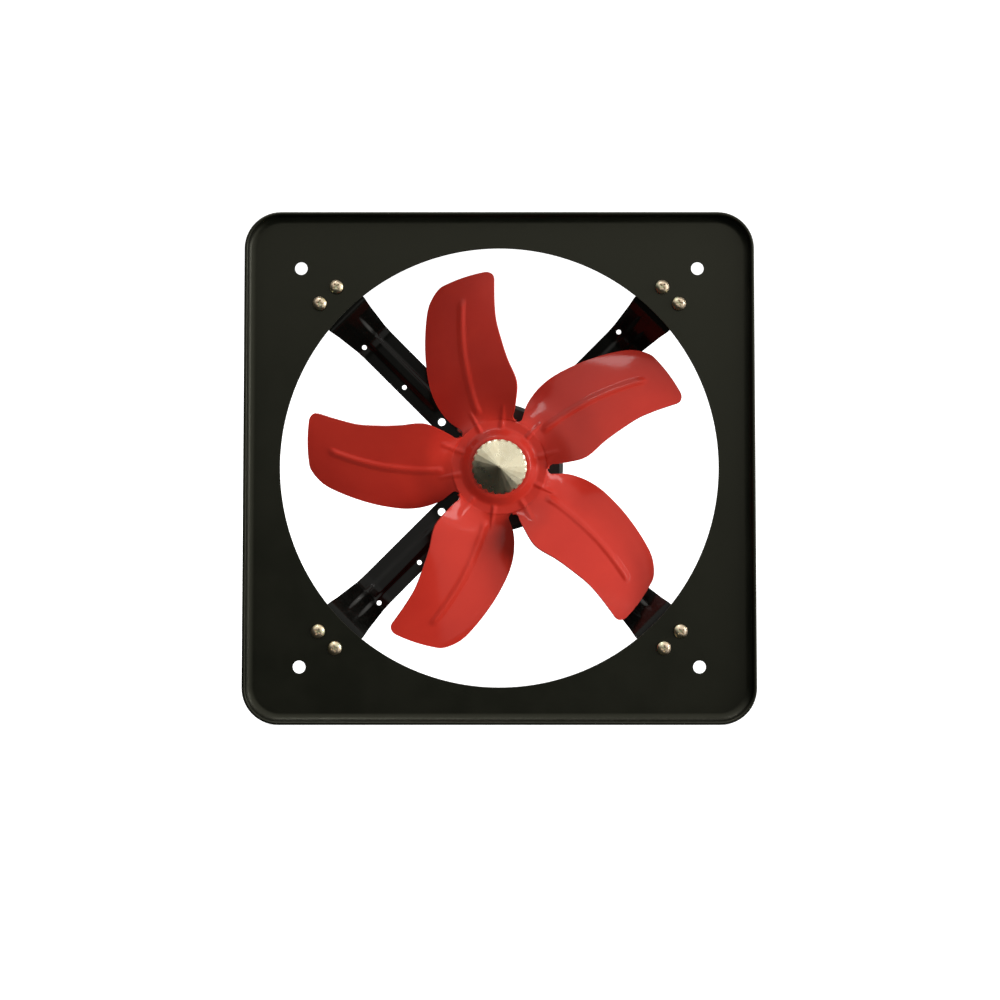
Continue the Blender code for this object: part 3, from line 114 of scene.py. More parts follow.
def remap(tree, value, low, high, to_low=0.0, to_high=1.0):
    return node(tree, "MapRange", {"interpolation_type": "SMOOTHSTEP"}, Value=value,
                From_Min=low, From_Max=high, To_Min=to_low, To_Max=to_high).outputs[0]


def times(tree, a, b):
    return node(tree, "Math", {"operation": "MULTIPLY"}, _0=a, _1=b).outputs[0]


def blend(tree, amount, a, b):
    """Mix two colours."""
    made = node(tree, "Mix", {"data_type": "RGBA"}, _0=amount)
    for socket, value in ((made.inputs[6], a), (made.inputs[7], b)):
        if isinstance(value, bpy.types.NodeSocket):
            tree.links.new(value, socket)
        else:
            socket.default_value = (*value, 1.0)
    return made.outputs[2]


print("shader tools ready")

# %% [markdown]
# ## Stage
# The floor is a wide pale dish whose rim curves up behind the fan. It glows a little, so that
# it stays even, and it is left out of reflections.

# %% Stage
FLOOR_Z = -0.1889
STAGE_RADIUS = 3.0


def make_stage():
    bm = bmesh.new()
    profile = [(0.0, 0.0), (STAGE_RADIUS * 0.6, 0.0)]
    for step in range(1, 13):
        turn = math.radians(90 * step / 12)
        reach = STAGE_RADIUS * 0.4
        profile.append((STAGE_RADIUS * 0.6 + reach * math.sin(turn), reach * (1 - math.cos(turn))))
    profile.append((STAGE_RADIUS, STAGE_RADIUS * 1.2))
    verts = [bm.verts.new((radius, 0, height)) for radius, height in profile]
    edges = [bm.edges.new(pair) for pair in zip(verts, verts[1:])]
    bmesh.ops.spin(bm, geom=verts + edges, cent=(0, 0, 0), axis=(0, 0, 1),
                   angle=math.tau, steps=64, use_duplicate=False)
    bmesh.ops.remove_doubles(bm, verts=bm.verts, dist=1e-5)
    bmesh.ops.recalc_face_normals(bm, faces=bm.faces)
    mesh = bpy.data.meshes.new("stage")
    bm.to_mesh(mesh)
    bm.free()
    mesh.shade_smooth()
    stage = bpy.data.objects.new("stage", mesh)
    scene.collection.objects.link(stage)
    stage.location = (0, 0, FLOOR_Z)
    material, shader = principled("stage_white")
    shader.inputs["Base Color"].default_value = (0.80, 0.80, 0.80, 1)
    shader.inputs["Roughness"].default_value = 0.9
    shader.inputs["Emission Color"].default_value = (1, 1, 1, 1)
    shader.inputs["Emission Strength"].default_value = 0.85
    mesh.materials.append(material)
    stage.visible_glossy = False
    stage.visible_diffuse = False
    return stage


stage = make_stage()
print("stage: a dish", 2 * STAGE_RADIUS, "m wide")

# %% [markdown]
# ## Lights
# Large soft boxes light the fan from the right, from above and from behind. What the paint
# reflects is mostly a separate, soft gradient, so that the flat frame doesn't mirror a lamp.
# Only the two narrow edge lights and the one behind show in reflections.

# %% Lights
BRIGHT_SIDE = (0.45, 0.0, 0.89)      # where the reflected gradient is brightest
CARD_SIDE = (0.76, -0.49, -0.43)     # and where a small bright card stands


def make_world():
    """What reflects: bright to the upper right, with one card low on the right.

    The ambient light is even, and past the dish the camera sees a plain pale grey.
    """
    world = bpy.data.worlds.new("studio")
    scene.world = world
    world.use_nodes = True
    tree = world.node_tree
    tree.nodes.clear()
    way = node(tree, "TexCoord").outputs["Generated"]
    lean = node(tree, "VectorMath", {"operation": "DOT_PRODUCT"}, _0=way, _1=BRIGHT_SIDE)
    rise = node(tree, "MapRange", Value=lean.outputs["Value"], From_Min=-1.0)
    aim = node(tree, "VectorMath", {"operation": "DOT_PRODUCT"}, _0=way, _1=CARD_SIDE)
    card = node(tree, "MapRange", Value=aim.outputs["Value"], From_Min=0.94, From_Max=0.98)
    brighter = node(tree, "Math", {"operation": "MAXIMUM"}, _0=rise.outputs[0],
                    _1=card.outputs[0])
    ramp = node(tree, "ValToRGB", Fac=brighter.outputs[0])
    ramp.color_ramp.interpolation = "EASE"
    dark, bright = ramp.color_ramp.elements
    dark.position, dark.color = 0.40, (0.030, 0.032, 0.028, 1)
    bright.position, bright.color = 0.64, (1, 0.98, 0.92, 1)
    reflected = node(tree, "Background", Color=ramp.outputs["Color"], Strength=0.85)
    ambient = node(tree, "Background", Color=(1, 0.99, 0.97, 1), Strength=0.23)
    beyond = node(tree, "Background")
    path = node(tree, "LightPath")
    unseen = node(tree, "MixShader", _0=path.outputs["Is Glossy Ray"], _1=ambient.outputs[0],
                  _2=reflected.outputs[0])
    seen = node(tree, "MixShader", _0=path.outputs["Is Camera Ray"], _1=unseen.outputs[0],
                _2=beyond.outputs[0])
    node(tree, "OutputWorld", Surface=seen.outputs[0])


def softbox(name, place, size, watts, reflects):
    """A soft area light that faces the fan; if it reflects, glossy surfaces show it too."""
    data = bpy.data.lights.new(name, "AREA")
    data.shape = "RECTANGLE"
    data.size, data.size_y = size
    data.energy = watts
    light = bpy.data.objects.new(name, data)
    scene.collection.objects.link(light)
    light.location = place
    light.rotation_euler = (-Vector(place)).to_track_quat("-Z", "Y").to_euler()
    light.visible_glossy = reflects
    light.visible_camera = False
    return light


make_world()
lights = [
    softbox("key_right", (1.95, -1.25, 0.04), (1.6, 0.4), 50, False),
    softbox("top", (0.3, -1.2, 1.7), (0.9, 0.7), 1, False),
    softbox("edge_right", (1.9, -0.60, 0.4), (0.35, 1.2), 9, True),
    softbox("edge_top", (-0.5, -0.7, 1.8), (0.8, 0.25), 4, True),
    softbox("behind", (-0.9, 2.1, 1.3), (1.6, 1.2), 34, True),
    softbox("fill_left", (-1.5, -1.6, 0.3), (1.4, 1.4), 6, False),
]
print("lights:", [light.name for light in lights])

# %% [markdown]
# ## Sizes
# These repeat the CAD part's own values, so that each finer piece fits where its CAD node is.

# %% Sizes
GAP = 0.0003
PAST = 0.01                      # how far a cutter runs past what it cuts
M4_HOLE = 0.0023                 # radius of a clearance hole
M6_HOLE = 0.0033
FRAME_HALF = 0.1888
FRAME_CORNER = 0.027
FRAME_SHEET = 0.0012
FRAME_DEPTH = 0.012
FRAME_BEND = 0.006
FRAME_HEM = 0.0028
FRAME_HEM_LENGTH = 0.004
OPENING_RADIUS = 0.163
MOUNT_HALF_PITCH = 0.148
MOUNT_HOLE_RADIUS = 0.00475
ARM_ANGLES = {"top_left": 135, "top_right": 45, "bottom_left": 225, "bottom_right": 315}
ARM_SHEET = 0.0018
FRAME_BOLT_RADIUS = 0.1807
FRAME_BOLT_SPREAD = 0.0088
ARM_RIB = 0.002
ARM_PAD_HOLES = 0.0565
NUT_HEIGHT = 0.005
MOTOR_RADIUS = 0.050
MOTOR_JOINT = 0.0493             # the covers' radius at the joint with the shell
COVER_BOSS = 0.020               # round each bearing
COVER_WALL = 0.0034
REAR_COVER_WALL = 0.006
SPIGOT_OUTER = 0.047
SPIGOT_INNER = 0.0445
SPIGOT_LENGTH = 0.004
BEARING_SEAT = 0.0163
FRONT_SEAT = (0.0561, 0.0669)    # from the shoulder to the open end, along Y
REAR_SEAT = (0.1322, 0.1196)
MOTOR_FRONT = 0.0541
MOTOR_REAR = 0.1345
SHELL_FRONT = 0.0663
SHELL_REAR = 0.1223
SHELL_BORE = 0.0473
ARM_PAD_FRONT = 0.0520
THROUGH_BOLT_RADIUS = 0.0418
SHAFT_RADIUS = 0.0057
HUB_FRONT = 0.011
HUB_STEP = 0.006
HUB_BACK = HUB_FRONT + HUB_STEP
HUB_BORE = 0.0053
HUB_FLAT_RADIUS = 0.0217
HUB_STEP_RADIUS = 0.0303
HUB_RADIUS = 0.0366
BLADE_COUNT = 5
BLADE_ANGLE = 102.0
BLADE_SHEET = 0.0015
TIP_RADIUS_LEADING = 0.1478
TIP_RADIUS_TRAILING = 0.1432
TIP_CORNER_LEADING = 0.006
TIP_CORNER_TRAILING = 0.012
SLOT_HALF_WIDTH = 0.0038
SLOT_CENTRE = -32.2
BEAD_HALF_WIDTH = 0.0042
BEAD_HEIGHT = 0.0016
BEAD_START = 0.0408
BEAD_END = 0.1305
CAMBER = 0.002
LEADING_EDGE = ((0.0428, -26.9), (0.051, -25.8), (0.0638, -23.5), (0.0796, -16.5),
                (0.0964, -12.5), (0.1142, -10.4), (0.153, -10.5))
TRAILING_EDGE = ((0.0428, 35.0), (0.051, 36.2), (0.0632, 34.5), (0.076, 31.0),
                 (0.0928, 25.0), (0.1108, 19.0), (0.1306, 13.0), (0.153, 6.5))
BLADE_PITCH = ((0.034, 0.0), (0.044, 17.0), (0.056, 28.0), (0.075, 29.0),
               (0.100, 26.0), (0.145, 21.0))
BEAD_LINE = ((0.0408, 9.5), (0.052, 9.5), (0.0785, 7.0), (0.0908, 5.7), (0.1306, 0.5))
SPINNER_BASE = HUB_FRONT - GAP
SPINNER_RADIUS = 0.0207
SPINNER_HEIGHT = 0.0115
BOX_FRONT = 0.1348
BOX_REAR = 0.1628
BOX_HALF_X = 0.032
BOX_HALF_Z = 0.028
BOX_CORNER = 0.006
BOX_WALL = 0.002
LID_THICKNESS = 0.0025
LID_SCREWS = ((-0.0258, 0.0218), (0.0258, -0.0218))
BOX_SCREWS_X = (-0.022, 0.022)
GLAND_Y = (BOX_FRONT + BOX_REAR) / 2

# %% [markdown]
# ## Mesh tools
# Small helpers for turned, extruded, bent and bored pieces. A bore is cut with a Boolean, and
# a thin bevel along each sharp edge gives it the highlight that a real edge has.

# %% Mesh tools


def smooth_step(low, high, x):
    t = min(max((x - low) / (high - low), 0.0), 1.0)
    return t * t * (3 - 2 * t)


def along(stations, x):
    """Read a smooth curve through (x, value) stations; beyond the ends it stays level."""
    if x <= stations[0][0]:
        return stations[0][1]
    if x >= stations[-1][0]:
        return stations[-1][1]
    i = max(k for k in range(len(stations) - 1) if stations[k][0] <= x)
    x0, y0 = stations[i]
    x1, y1 = stations[i + 1]
    before = stations[max(i - 1, 0)]
    after = stations[min(i + 2, len(stations) - 1)]
    slope0 = (y1 - before[1]) / (x1 - before[0])
    slope1 = (after[1] - y0) / (after[0] - x0)
    span = x1 - x0
    t = (x - x0) / span
    return ((2 * t**3 - 3 * t**2 + 1) * y0 + (t**3 - 2 * t**2 + t) * span * slope0
            + (3 * t**2 - 2 * t**3) * y1 + (t**3 - t**2) * span * slope1)


def diagonal(radius, angle, side=0.0):
    """The (x, z) place at a radius along an angle, set off sideways, anticlockwise."""
    turn = math.radians(angle)
    x = radius * math.cos(turn) - side * math.sin(turn)
    z = radius * math.sin(turn) + side * math.cos(turn)
    return x, z


def circle(radius, steps, x=0.0, z=0.0, turn=0.0):
    angles = [math.tau * (i + turn) / steps for i in range(steps)]
    return [(x + radius * math.cos(a), z + radius * math.sin(a)) for a in angles]


def rounded_rectangle(half_x, half_z, radius, steps):
    points = []
    for side_x, side_z, start in ((1, 1, 0), (-1, 1, 90), (-1, -1, 180), (1, -1, 270)):
        for i in range(steps + 1):
            angle = math.radians(start + 90 * i / steps)
            points.append((side_x * (half_x - radius) + radius * math.cos(angle),
                           side_z * (half_z - radius) + radius * math.sin(angle)))
    return points


def filleted(points, radii, steps=4):
    """Round the corners of an open outline, each by its own radius."""
    result = []
    for i, (point, radius) in enumerate(zip(points, radii)):
        corner = Vector(point)
        if radius == 0 or i in (0, len(points) - 1):
            result.append(tuple(corner))
            continue
        back = Vector(points[i - 1]) - corner
        ahead = Vector(points[i + 1]) - corner
        reach = radius / math.tan(back.angle(ahead) / 2)
        reach = min(reach, 0.49 * back.length, 0.49 * ahead.length)
        start = corner + back.normalized() * reach
        end = corner + ahead.normalized() * reach
        for k in range(steps + 1):
            t = k / steps
            result.append(tuple((1 - t)**2 * start + 2 * t * (1 - t) * corner + t**2 * end))
    return result


def to_mesh(name, bm, smooth_angle=35):
    bmesh.ops.recalc_face_normals(bm, faces=bm.faces)
    mesh = bpy.data.meshes.new(name)
    bm.to_mesh(mesh)
    bm.free()
    mesh.shade_smooth()
    mesh.set_sharp_from_angle(angle=math.radians(smooth_angle))
    return mesh


def turned(name, profile, steps=96, smooth_angle=35):
    """Turn a closed (radius, y) outline once round the Y axis."""
    bm = bmesh.new()
    verts = [bm.verts.new((radius, y, 0)) for radius, y in profile]
    pairs = list(zip(verts, verts[1:] + verts[:1]))
    on_axis = [abs(a.co.x) < 1e-9 and abs(b.co.x) < 1e-9 for a, b in pairs]
    edges = [bm.edges.new(pair) for pair, skip in zip(pairs, on_axis) if not skip]
    bmesh.ops.spin(bm, geom=verts + edges, cent=(0, 0, 0), axis=(0, 1, 0),
                   angle=math.tau, steps=steps, use_duplicate=False)
    bmesh.ops.remove_doubles(bm, verts=bm.verts, dist=1e-6)
    return to_mesh(name, bm, smooth_angle)


def extruded(name, outline, front, rear, smooth_angle=35):
    """A solid with an (x, z) outline, running along Y from front to rear."""
    bm = bmesh.new()
    face = bm.faces.new([bm.verts.new((x, front, z)) for x, z in outline])
    pushed = bmesh.ops.extrude_face_region(bm, geom=[face])
    far = [item for item in pushed["geom"] if isinstance(item, bmesh.types.BMVert)]
    bmesh.ops.translate(bm, verts=far, vec=(0, rear - front, 0))
    return to_mesh(name, bm, smooth_angle)


def bridged(name, loops, caps=True, smooth_angle=35):
    """A closed skin through a row of point loops of equal length."""
    bm = bmesh.new()
    rows = [[bm.verts.new(point) for point in loop] for loop in loops]
    for near, far in zip(rows, rows[1:]):
        for i in range(len(near)):
            k = (i + 1) % len(near)
            bm.faces.new((near[i], near[k], far[k], far[i]))
    if caps:
        bm.faces.new(rows[0])
        bm.faces.new(rows[-1])
    return to_mesh(name, bm, smooth_angle)


def joined(name, meshes):
    bm = bmesh.new()
    for mesh in meshes:
        bm.from_mesh(mesh)
    result = bpy.data.meshes.new(name)
    bm.to_mesh(result)
    bm.free()
    return result


def evaluated(mesh, add_modifiers, smooth_angle=35):
    """The mesh as a row of modifiers leaves it."""
    work = bpy.data.objects.new("work", mesh)
    scene.collection.objects.link(work)
    add_modifiers(work)
    bpy.context.view_layer.update()
    done = work.evaluated_get(bpy.context.evaluated_depsgraph_get())
    result = bpy.data.meshes.new_from_object(done)
    result.name = mesh.name
    bpy.data.objects.remove(work)
    result.materials.clear()
    result.shade_smooth()
    result.set_sharp_from_angle(angle=math.radians(smooth_angle))
    return result


def boolean(mesh, tool, operation):
    other = bpy.data.objects.new("tool", tool)
    scene.collection.objects.link(other)

    def add(work):
        modifier = work.modifiers.new("boolean", "BOOLEAN")
        modifier.operation = operation
        modifier.solver = "EXACT"
        modifier.object = other

    result = evaluated(mesh, add)
    bpy.data.objects.remove(other)
    return result


def cut(mesh, *tools):
    return boolean(mesh, joined("cutter", tools), "DIFFERENCE")


def softened(mesh, width, segments=2, limit=50, smooth_angle=40):
    """Bevel the sharp edges a little."""
    def add(work):
        modifier = work.modifiers.new("edges", "BEVEL")
        modifier.width = width
        modifier.segments = segments
        modifier.limit_method = "ANGLE"
        modifier.angle_limit = math.radians(limit)
        modifier.use_clamp_overlap = True
        modifier.miter_outer = "MITER_ARC"
    return evaluated(mesh, add, smooth_angle)


def pressed_sheet(name, grids, thickness, even=True, weld=None):
    """Sheet metal from grids of points on its front face, thickened towards +Y."""
    bm = bmesh.new()
    for grid in grids:
        rows = [[bm.verts.new(point) for point in row] for row in grid]
        for near, far in zip(rows, rows[1:]):
            for i in range(len(near) - 1):
                bm.faces.new((near[i], near[i + 1], far[i + 1], far[i]))
    if weld:
        bmesh.ops.remove_doubles(bm, verts=bm.verts, dist=weld)
    bmesh.ops.recalc_face_normals(bm, faces=bm.faces)
    if sum(face.normal.y * face.calc_area() for face in bm.faces) > 0:
        bmesh.ops.reverse_faces(bm, faces=bm.faces)
    sheet = bpy.data.meshes.new(name)
    bm.to_mesh(sheet)
    bm.free()

    def thicken(work):
        modifier = work.modifiers.new("sheet", "SOLIDIFY")
        modifier.thickness = thickness
        modifier.offset = -1
        modifier.use_even_offset = even

    return evaluated(sheet, thicken)


def hole(radius, front, rear, x=0.0, z=0.0, steps=40):
    return extruded("hole", circle(radius, steps, x, z), front, rear)


def moved(mesh, matrix):
    mesh.transform(matrix)
    if matrix.determinant() < 0:
        mesh.flip_normals()
    return mesh


shown = []


def show(name, mesh, material, body, node, location=(0, 0, 0), angle=0.0):
    """Put a finished piece in place of its CAD node."""
    piece = bpy.data.objects.new(name, mesh)
    scene.collection.objects.link(piece)
    if not mesh.materials:
        mesh.materials.append(material)
    piece.location = location
    piece.rotation_euler = (0, -math.radians(angle), 0)
    even = piece.modifiers.new("even_normals", "WEIGHTED_NORMAL")
    even.keep_sharp = True
    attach(piece, body)
    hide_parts(node)
    shown.append(name)
    return piece


print("mesh tools ready")

# %% [markdown]
# ## Surface effects
# Node groups that several finishes share. Each puts out a mask, a height or a colour.

# %% Surface effects


def new_group(name, inputs, outputs):
    """A node group with float inputs {name: default} and outputs {name: kind}."""
    tree = bpy.data.node_groups.new(name, "ShaderNodeTree")
    for key, value in inputs.items():
        socket = tree.interface.new_socket(key, in_out="INPUT", socket_type="NodeSocketFloat")
        socket.default_value = value
    for key, kind in outputs.items():
        tree.interface.new_socket(key, in_out="OUTPUT", socket_type="NodeSocket" + kind)
    return tree, tree.nodes.new("NodeGroupInput"), tree.nodes.new("NodeGroupOutput")


def use_group(tree, name, **inputs):
    made = tree.nodes.new("ShaderNodeGroup")
    made.node_tree = bpy.data.node_groups[name]
    for key, value in inputs.items():
        made.inputs[key.replace("_", " ")].default_value = value
    return made


def make_paint_skin():
    """Orange peel, broad unevenness, and the dust that settles on what faces up."""
    tree, given, out = new_group("paint_skin", {"Peel Scale": 900.0},
                                 {"Peel": "Float", "Patches": "Float", "Dust": "Float"})
    place = node(tree, "TexCoord").outputs["Object"]
    peel = node(tree, "TexNoise", Vector=place, Detail=2.0, Roughness=0.5)
    tree.links.new(given.outputs["Peel Scale"], peel.inputs["Scale"])
    broad = node(tree, "TexNoise", Vector=place, Scale=22.0, Detail=5.0, Roughness=0.6)
    specks = node(tree, "TexNoise", Vector=place, Scale=420.0, Detail=3.0, Roughness=0.7)
    facing = node(tree, "SeparateXYZ", Vector=node(tree, "NewGeometry").outputs["Normal"])
    upward = remap(tree, facing.outputs["Z"], 0.25, 1.0)
    grain = remap(tree, specks.outputs["Fac"], 0.42, 0.68)
    tree.links.new(peel.outputs["Fac"], out.inputs["Peel"])
    tree.links.new(remap(tree, broad.outputs["Fac"], 0.3, 0.7), out.inputs["Patches"])
    tree.links.new(times(tree, upward, grain), out.inputs["Dust"])


def make_worn_edges():
    """A mask of sharp convex edges, broken up so that the wear isn't even."""
    tree, given, out = new_group("worn_edges", {"Breaks": 260.0}, {"Edge": "Float"})
    rounded = node(tree, "Bevel", {"samples": 4}, Radius=0.0007).outputs["Normal"]
    flat = node(tree, "NewGeometry").outputs["Normal"]
    turn = node(tree, "VectorMath", {"operation": "DOT_PRODUCT"}, _0=rounded, _1=flat)
    edge = remap(tree, turn.outputs["Value"], 0.985, 0.86)
    breaks = node(tree, "TexNoise", Vector=node(tree, "TexCoord").outputs["Object"], Detail=4.0)
    tree.links.new(given.outputs["Breaks"], breaks.inputs["Scale"])
    tree.links.new(times(tree, edge, remap(tree, breaks.outputs["Fac"], 0.46, 0.62)),
                   out.inputs["Edge"])


def make_turning():
    """Fine tool lines round the Y axis, and a streaky mask that follows them."""
    tree, given, out = new_group("turning", {"Lines": 2600.0},
                                 {"Height": "Float", "Streaks": "Float"})
    place = node(tree, "TexCoord").outputs["Object"]
    flat = node(tree, "VectorMath", {"operation": "MULTIPLY"}, _0=place, _1=(1, 0, 1))
    radius = node(tree, "VectorMath", {"operation": "LENGTH"}, _0=flat.outputs[0])
    depth = node(tree, "SeparateXYZ", Vector=place).outputs["Y"]
    path = node(tree, "Math", {"operation": "ADD"}, _0=radius.outputs["Value"], _1=depth)
    scaled = node(tree, "Math", {"operation": "MULTIPLY"}, _0=path.outputs[0])
    tree.links.new(given.outputs["Lines"], scaled.inputs[1])
    lines = node(tree, "TexNoise", {"noise_dimensions": "1D"}, W=scaled.outputs[0], Scale=1.0,
                 Detail=3.0, Roughness=0.7)
    tree.links.new(lines.outputs["Fac"], out.inputs["Height"])
    tree.links.new(remap(tree, lines.outputs["Fac"], 0.35, 0.65), out.inputs["Streaks"])


def make_passivate():
    """The drifting yellow, rose and green of a chromate film on zinc."""
    tree, given, out = new_group("passivate", {"Drift": 90.0}, {"Color": "Color", "Cloud": "Float"})
    place = node(tree, "TexCoord").outputs["Object"]
    first = node(tree, "TexNoise", Vector=place, Detail=3.0)
    second = node(tree, "TexNoise", Vector=place, Scale=230.0, Detail=2.0)
    tree.links.new(given.outputs["Drift"], first.inputs["Scale"])
    gold = blend(tree, remap(tree, first.outputs["Fac"], 0.4, 0.6), (0.92, 0.80, 0.52),
                 (0.90, 0.73, 0.55))
    film = blend(tree, remap(tree, second.outputs["Fac"], 0.52, 0.68), gold, (0.80, 0.84, 0.58))
    tree.links.new(film, out.inputs["Color"])
    tree.links.new(first.outputs["Fac"], out.inputs["Cloud"])


make_paint_skin()
make_worn_edges()
make_turning()
make_passivate()
print("shared effects:", [group.name for group in bpy.data.node_groups])

# %% [markdown]
# ## Finishes
# Each finish starts from one Principled shader. Its masks vary the colour, the roughness and
# the surface height, so that no face is one flat tone.

# %% Finishes


def bump(tree, shader, height, strength, distance):
    made = node(tree, "Bump", Height=height, Strength=strength, Distance=distance)
    tree.links.new(made.outputs["Normal"], shader.inputs["Normal"])


def painted(name, colour, patch_colour, dust, edge_colour, rough, peel=900.0, lift=0.00004):
    """Paint over metal: uneven, a little dusty, thin along the edges."""
    material, shader = principled(name)
    tree = material.node_tree
    skin = use_group(tree, "paint_skin", Peel_Scale=peel)
    worn = use_group(tree, "worn_edges")
    base = blend(tree, skin.outputs["Patches"], colour, patch_colour)
    dusty = blend(tree, times(tree, skin.outputs["Dust"], dust), base, (0.34, 0.32, 0.28))
    final = blend(tree, worn.outputs["Edge"], dusty, edge_colour)
    tree.links.new(final, shader.inputs["Base Color"])
    tree.links.new(remap(tree, skin.outputs["Patches"], 0, 1, *rough), shader.inputs["Roughness"])
    bump(tree, shader, skin.outputs["Peel"], 0.5, lift)
    return material, shader


def machined(name, colour, tint, rough, lines=2600.0, lift=0.00002):
    """Bare metal with fine tool lines and streaks along them."""
    material, shader = principled(name)
    tree = material.node_tree
    turning = use_group(tree, "turning", Lines=lines)
    tree.links.new(blend(tree, turning.outputs["Streaks"], colour, tint),
                   shader.inputs["Base Color"])
    tree.links.new(remap(tree, turning.outputs["Streaks"], 0, 1, *rough),
                   shader.inputs["Roughness"])
    bump(tree, shader, turning.outputs["Height"], 0.6, lift)
    shader.inputs["Metallic"].default_value = 1.0
    return material


def moulded(name, colour, patch_colour, rough, grain=1500.0):
    """Plastic with a fine spark-eroded texture."""
    material, shader = principled(name)
    tree = material.node_tree
    skin = use_group(tree, "paint_skin", Peel_Scale=grain)
    base = blend(tree, skin.outputs["Patches"], colour, patch_colour)
    dusty = blend(tree, times(tree, skin.outputs["Dust"], 0.3), base, (0.30, 0.29, 0.27))
    tree.links.new(dusty, shader.inputs["Base Color"])
    tree.links.new(remap(tree, skin.outputs["Patches"], 0, 1, *rough), shader.inputs["Roughness"])
    bump(tree, shader, skin.outputs["Peel"], 0.8, 0.00006)
    return material


def make_satin_black():
    material, shader = painted("satin_black", (0.0040, 0.0046, 0.0028), (0.0056, 0.0060, 0.0038),
                               0.05, (0.060, 0.060, 0.052), (0.32, 0.38))
    shader.inputs["Specular IOR Level"].default_value = 0.42
    shader.inputs["Specular Tint"].default_value = (1.0, 1.0, 0.80, 1.0)
    return material


# A darker copy of the frame's black paint: painted shade, because the arms sit recessed and angled,
# in shade.
def make_arm_shade_black():
    material, shader = painted("arm_shade_black", (0.0022, 0.0025, 0.0020), (0.0034, 0.0036, 0.0028),
                               0.03, (0.050, 0.050, 0.046), (0.15, 0.22))
    shader.inputs["Specular IOR Level"].default_value = 0.22
    return material


def make_motor_black():
    material, shader = painted("motor_black", (0.012, 0.012, 0.011), (0.017, 0.017, 0.015),
                               0.16, (0.12, 0.12, 0.115), (0.40, 0.54), 420.0, 0.00010)
    return material


def make_red_enamel():
    material, shader = painted("red_enamel", (0.58, 0.030, 0.017), (0.63, 0.036, 0.020),
                               0.02, (0.66, 0.07, 0.05), (0.46, 0.54), 500.0, 0.00003)
    shader.inputs["Specular IOR Level"].default_value = 0.18
    shader.inputs["Coat Weight"].default_value = 0.40
    shader.inputs["Coat Roughness"].default_value = 0.10
    return material


def make_yellow_zinc():
    material, shader = principled("yellow_zinc")
    tree = material.node_tree
    film = use_group(tree, "passivate")
    tree.links.new(film.outputs["Color"], shader.inputs["Base Color"])
    tree.links.new(remap(tree, film.outputs["Cloud"], 0.3, 0.7, 0.24, 0.40),
                   shader.inputs["Roughness"])
    bump(tree, shader, film.outputs["Cloud"], 0.25, 0.00008)
    shader.inputs["Metallic"].default_value = 1.0
    return material


def make_champagne_nickel():
    """Polished plating: fine rings left by the lathe, and faint clouds."""
    material, shader = principled("champagne_nickel")
    tree = material.node_tree
    turning = use_group(tree, "turning", Lines=5200.0)
    cloud = node(tree, "TexNoise", Vector=node(tree, "TexCoord").outputs["Object"], Scale=160.0,
                 Detail=4.0)
    soft = remap(tree, cloud.outputs["Fac"], 0.35, 0.65)
    tree.links.new(blend(tree, soft, (0.86, 0.80, 0.60), (0.80, 0.72, 0.52)),
                   shader.inputs["Base Color"])
    tree.links.new(remap(tree, soft, 0, 1, 0.27, 0.36), shader.inputs["Roughness"])
    bump(tree, shader, turning.outputs["Height"], 0.25, 0.00001)
    shader.inputs["Metallic"].default_value = 1.0
    return material


def make_laminations():
    """A stack of thin varnished sheets, seen as lines across the Y axis."""
    material, shader = principled("laminations")
    tree = material.node_tree
    place = node(tree, "TexCoord").outputs["Object"]
    sheets = node(tree, "TexWave", {"bands_direction": "Y", "wave_profile": "TRI"}, Vector=place,
                  Scale=320.0, Distortion=0.3)
    spots = node(tree, "TexNoise", Vector=place, Scale=120.0, Detail=4.0)
    iron = blend(tree, spots.outputs["Fac"], (0.10, 0.10, 0.105), (0.20, 0.18, 0.16))
    tree.links.new(blend(tree, sheets.outputs["Fac"], iron, (0.36, 0.35, 0.34)),
                   shader.inputs["Base Color"])
    tree.links.new(remap(tree, spots.outputs["Fac"], 0.3, 0.7, 0.35, 0.55),
                   shader.inputs["Roughness"])
    bump(tree, shader, sheets.outputs["Fac"], 0.7, 0.00008)
    shader.inputs["Metallic"].default_value = 0.9
    return material


def make_copper_winding():
    """Bundled, varnished wire: strands round the coil, slightly wandering."""
    material, shader = principled("copper_winding")
    tree = material.node_tree
    place = node(tree, "TexCoord").outputs["Object"]
    strands = node(tree, "TexWave", {"wave_type": "RINGS", "rings_direction": "Y"}, Vector=place,
                   Scale=420.0, Distortion=2.0, Detail=3.0, Detail_Scale=2.0)
    tint = blend(tree, strands.outputs["Fac"], (0.30, 0.09, 0.03), (0.72, 0.30, 0.12))
    tree.links.new(tint, shader.inputs["Base Color"])
    tree.links.new(remap(tree, strands.outputs["Fac"], 0, 1, 0.25, 0.45),
                   shader.inputs["Roughness"])
    bump(tree, shader, strands.outputs["Fac"], 1.0, 0.0002)
    shader.inputs["Metallic"].default_value = 0.85
    return material


satin_black = make_satin_black()
arm_shade_black = make_arm_shade_black()
motor_black = make_motor_black()
red_enamel = make_red_enamel()
yellow_zinc = make_yellow_zinc()
champagne_nickel = make_champagne_nickel()
bright_steel = machined("bright_steel", (0.60, 0.60, 0.585), (0.46, 0.46, 0.45), (0.20, 0.34))
dark_steel = machined("dark_steel", (0.16, 0.16, 0.165), (0.10, 0.10, 0.10), (0.35, 0.5))
laminations = make_laminations()
copper_winding = make_copper_winding()
black_plastic = moulded("black_plastic", (0.014, 0.014, 0.014), (0.022, 0.022, 0.021), (0.42, 0.56))
grey_plastic = moulded("grey_plastic", (0.28, 0.28, 0.285), (0.34, 0.34, 0.335), (0.42, 0.55))
print("finishes:", len(bpy.data.materials))

# %% [markdown]
# ## Frame
# One pressed sheet: a flat face, a rim turned forward round a soft bend, and a folded lip. The
# opening and the bolt holes are punched through it.

# %% Frame


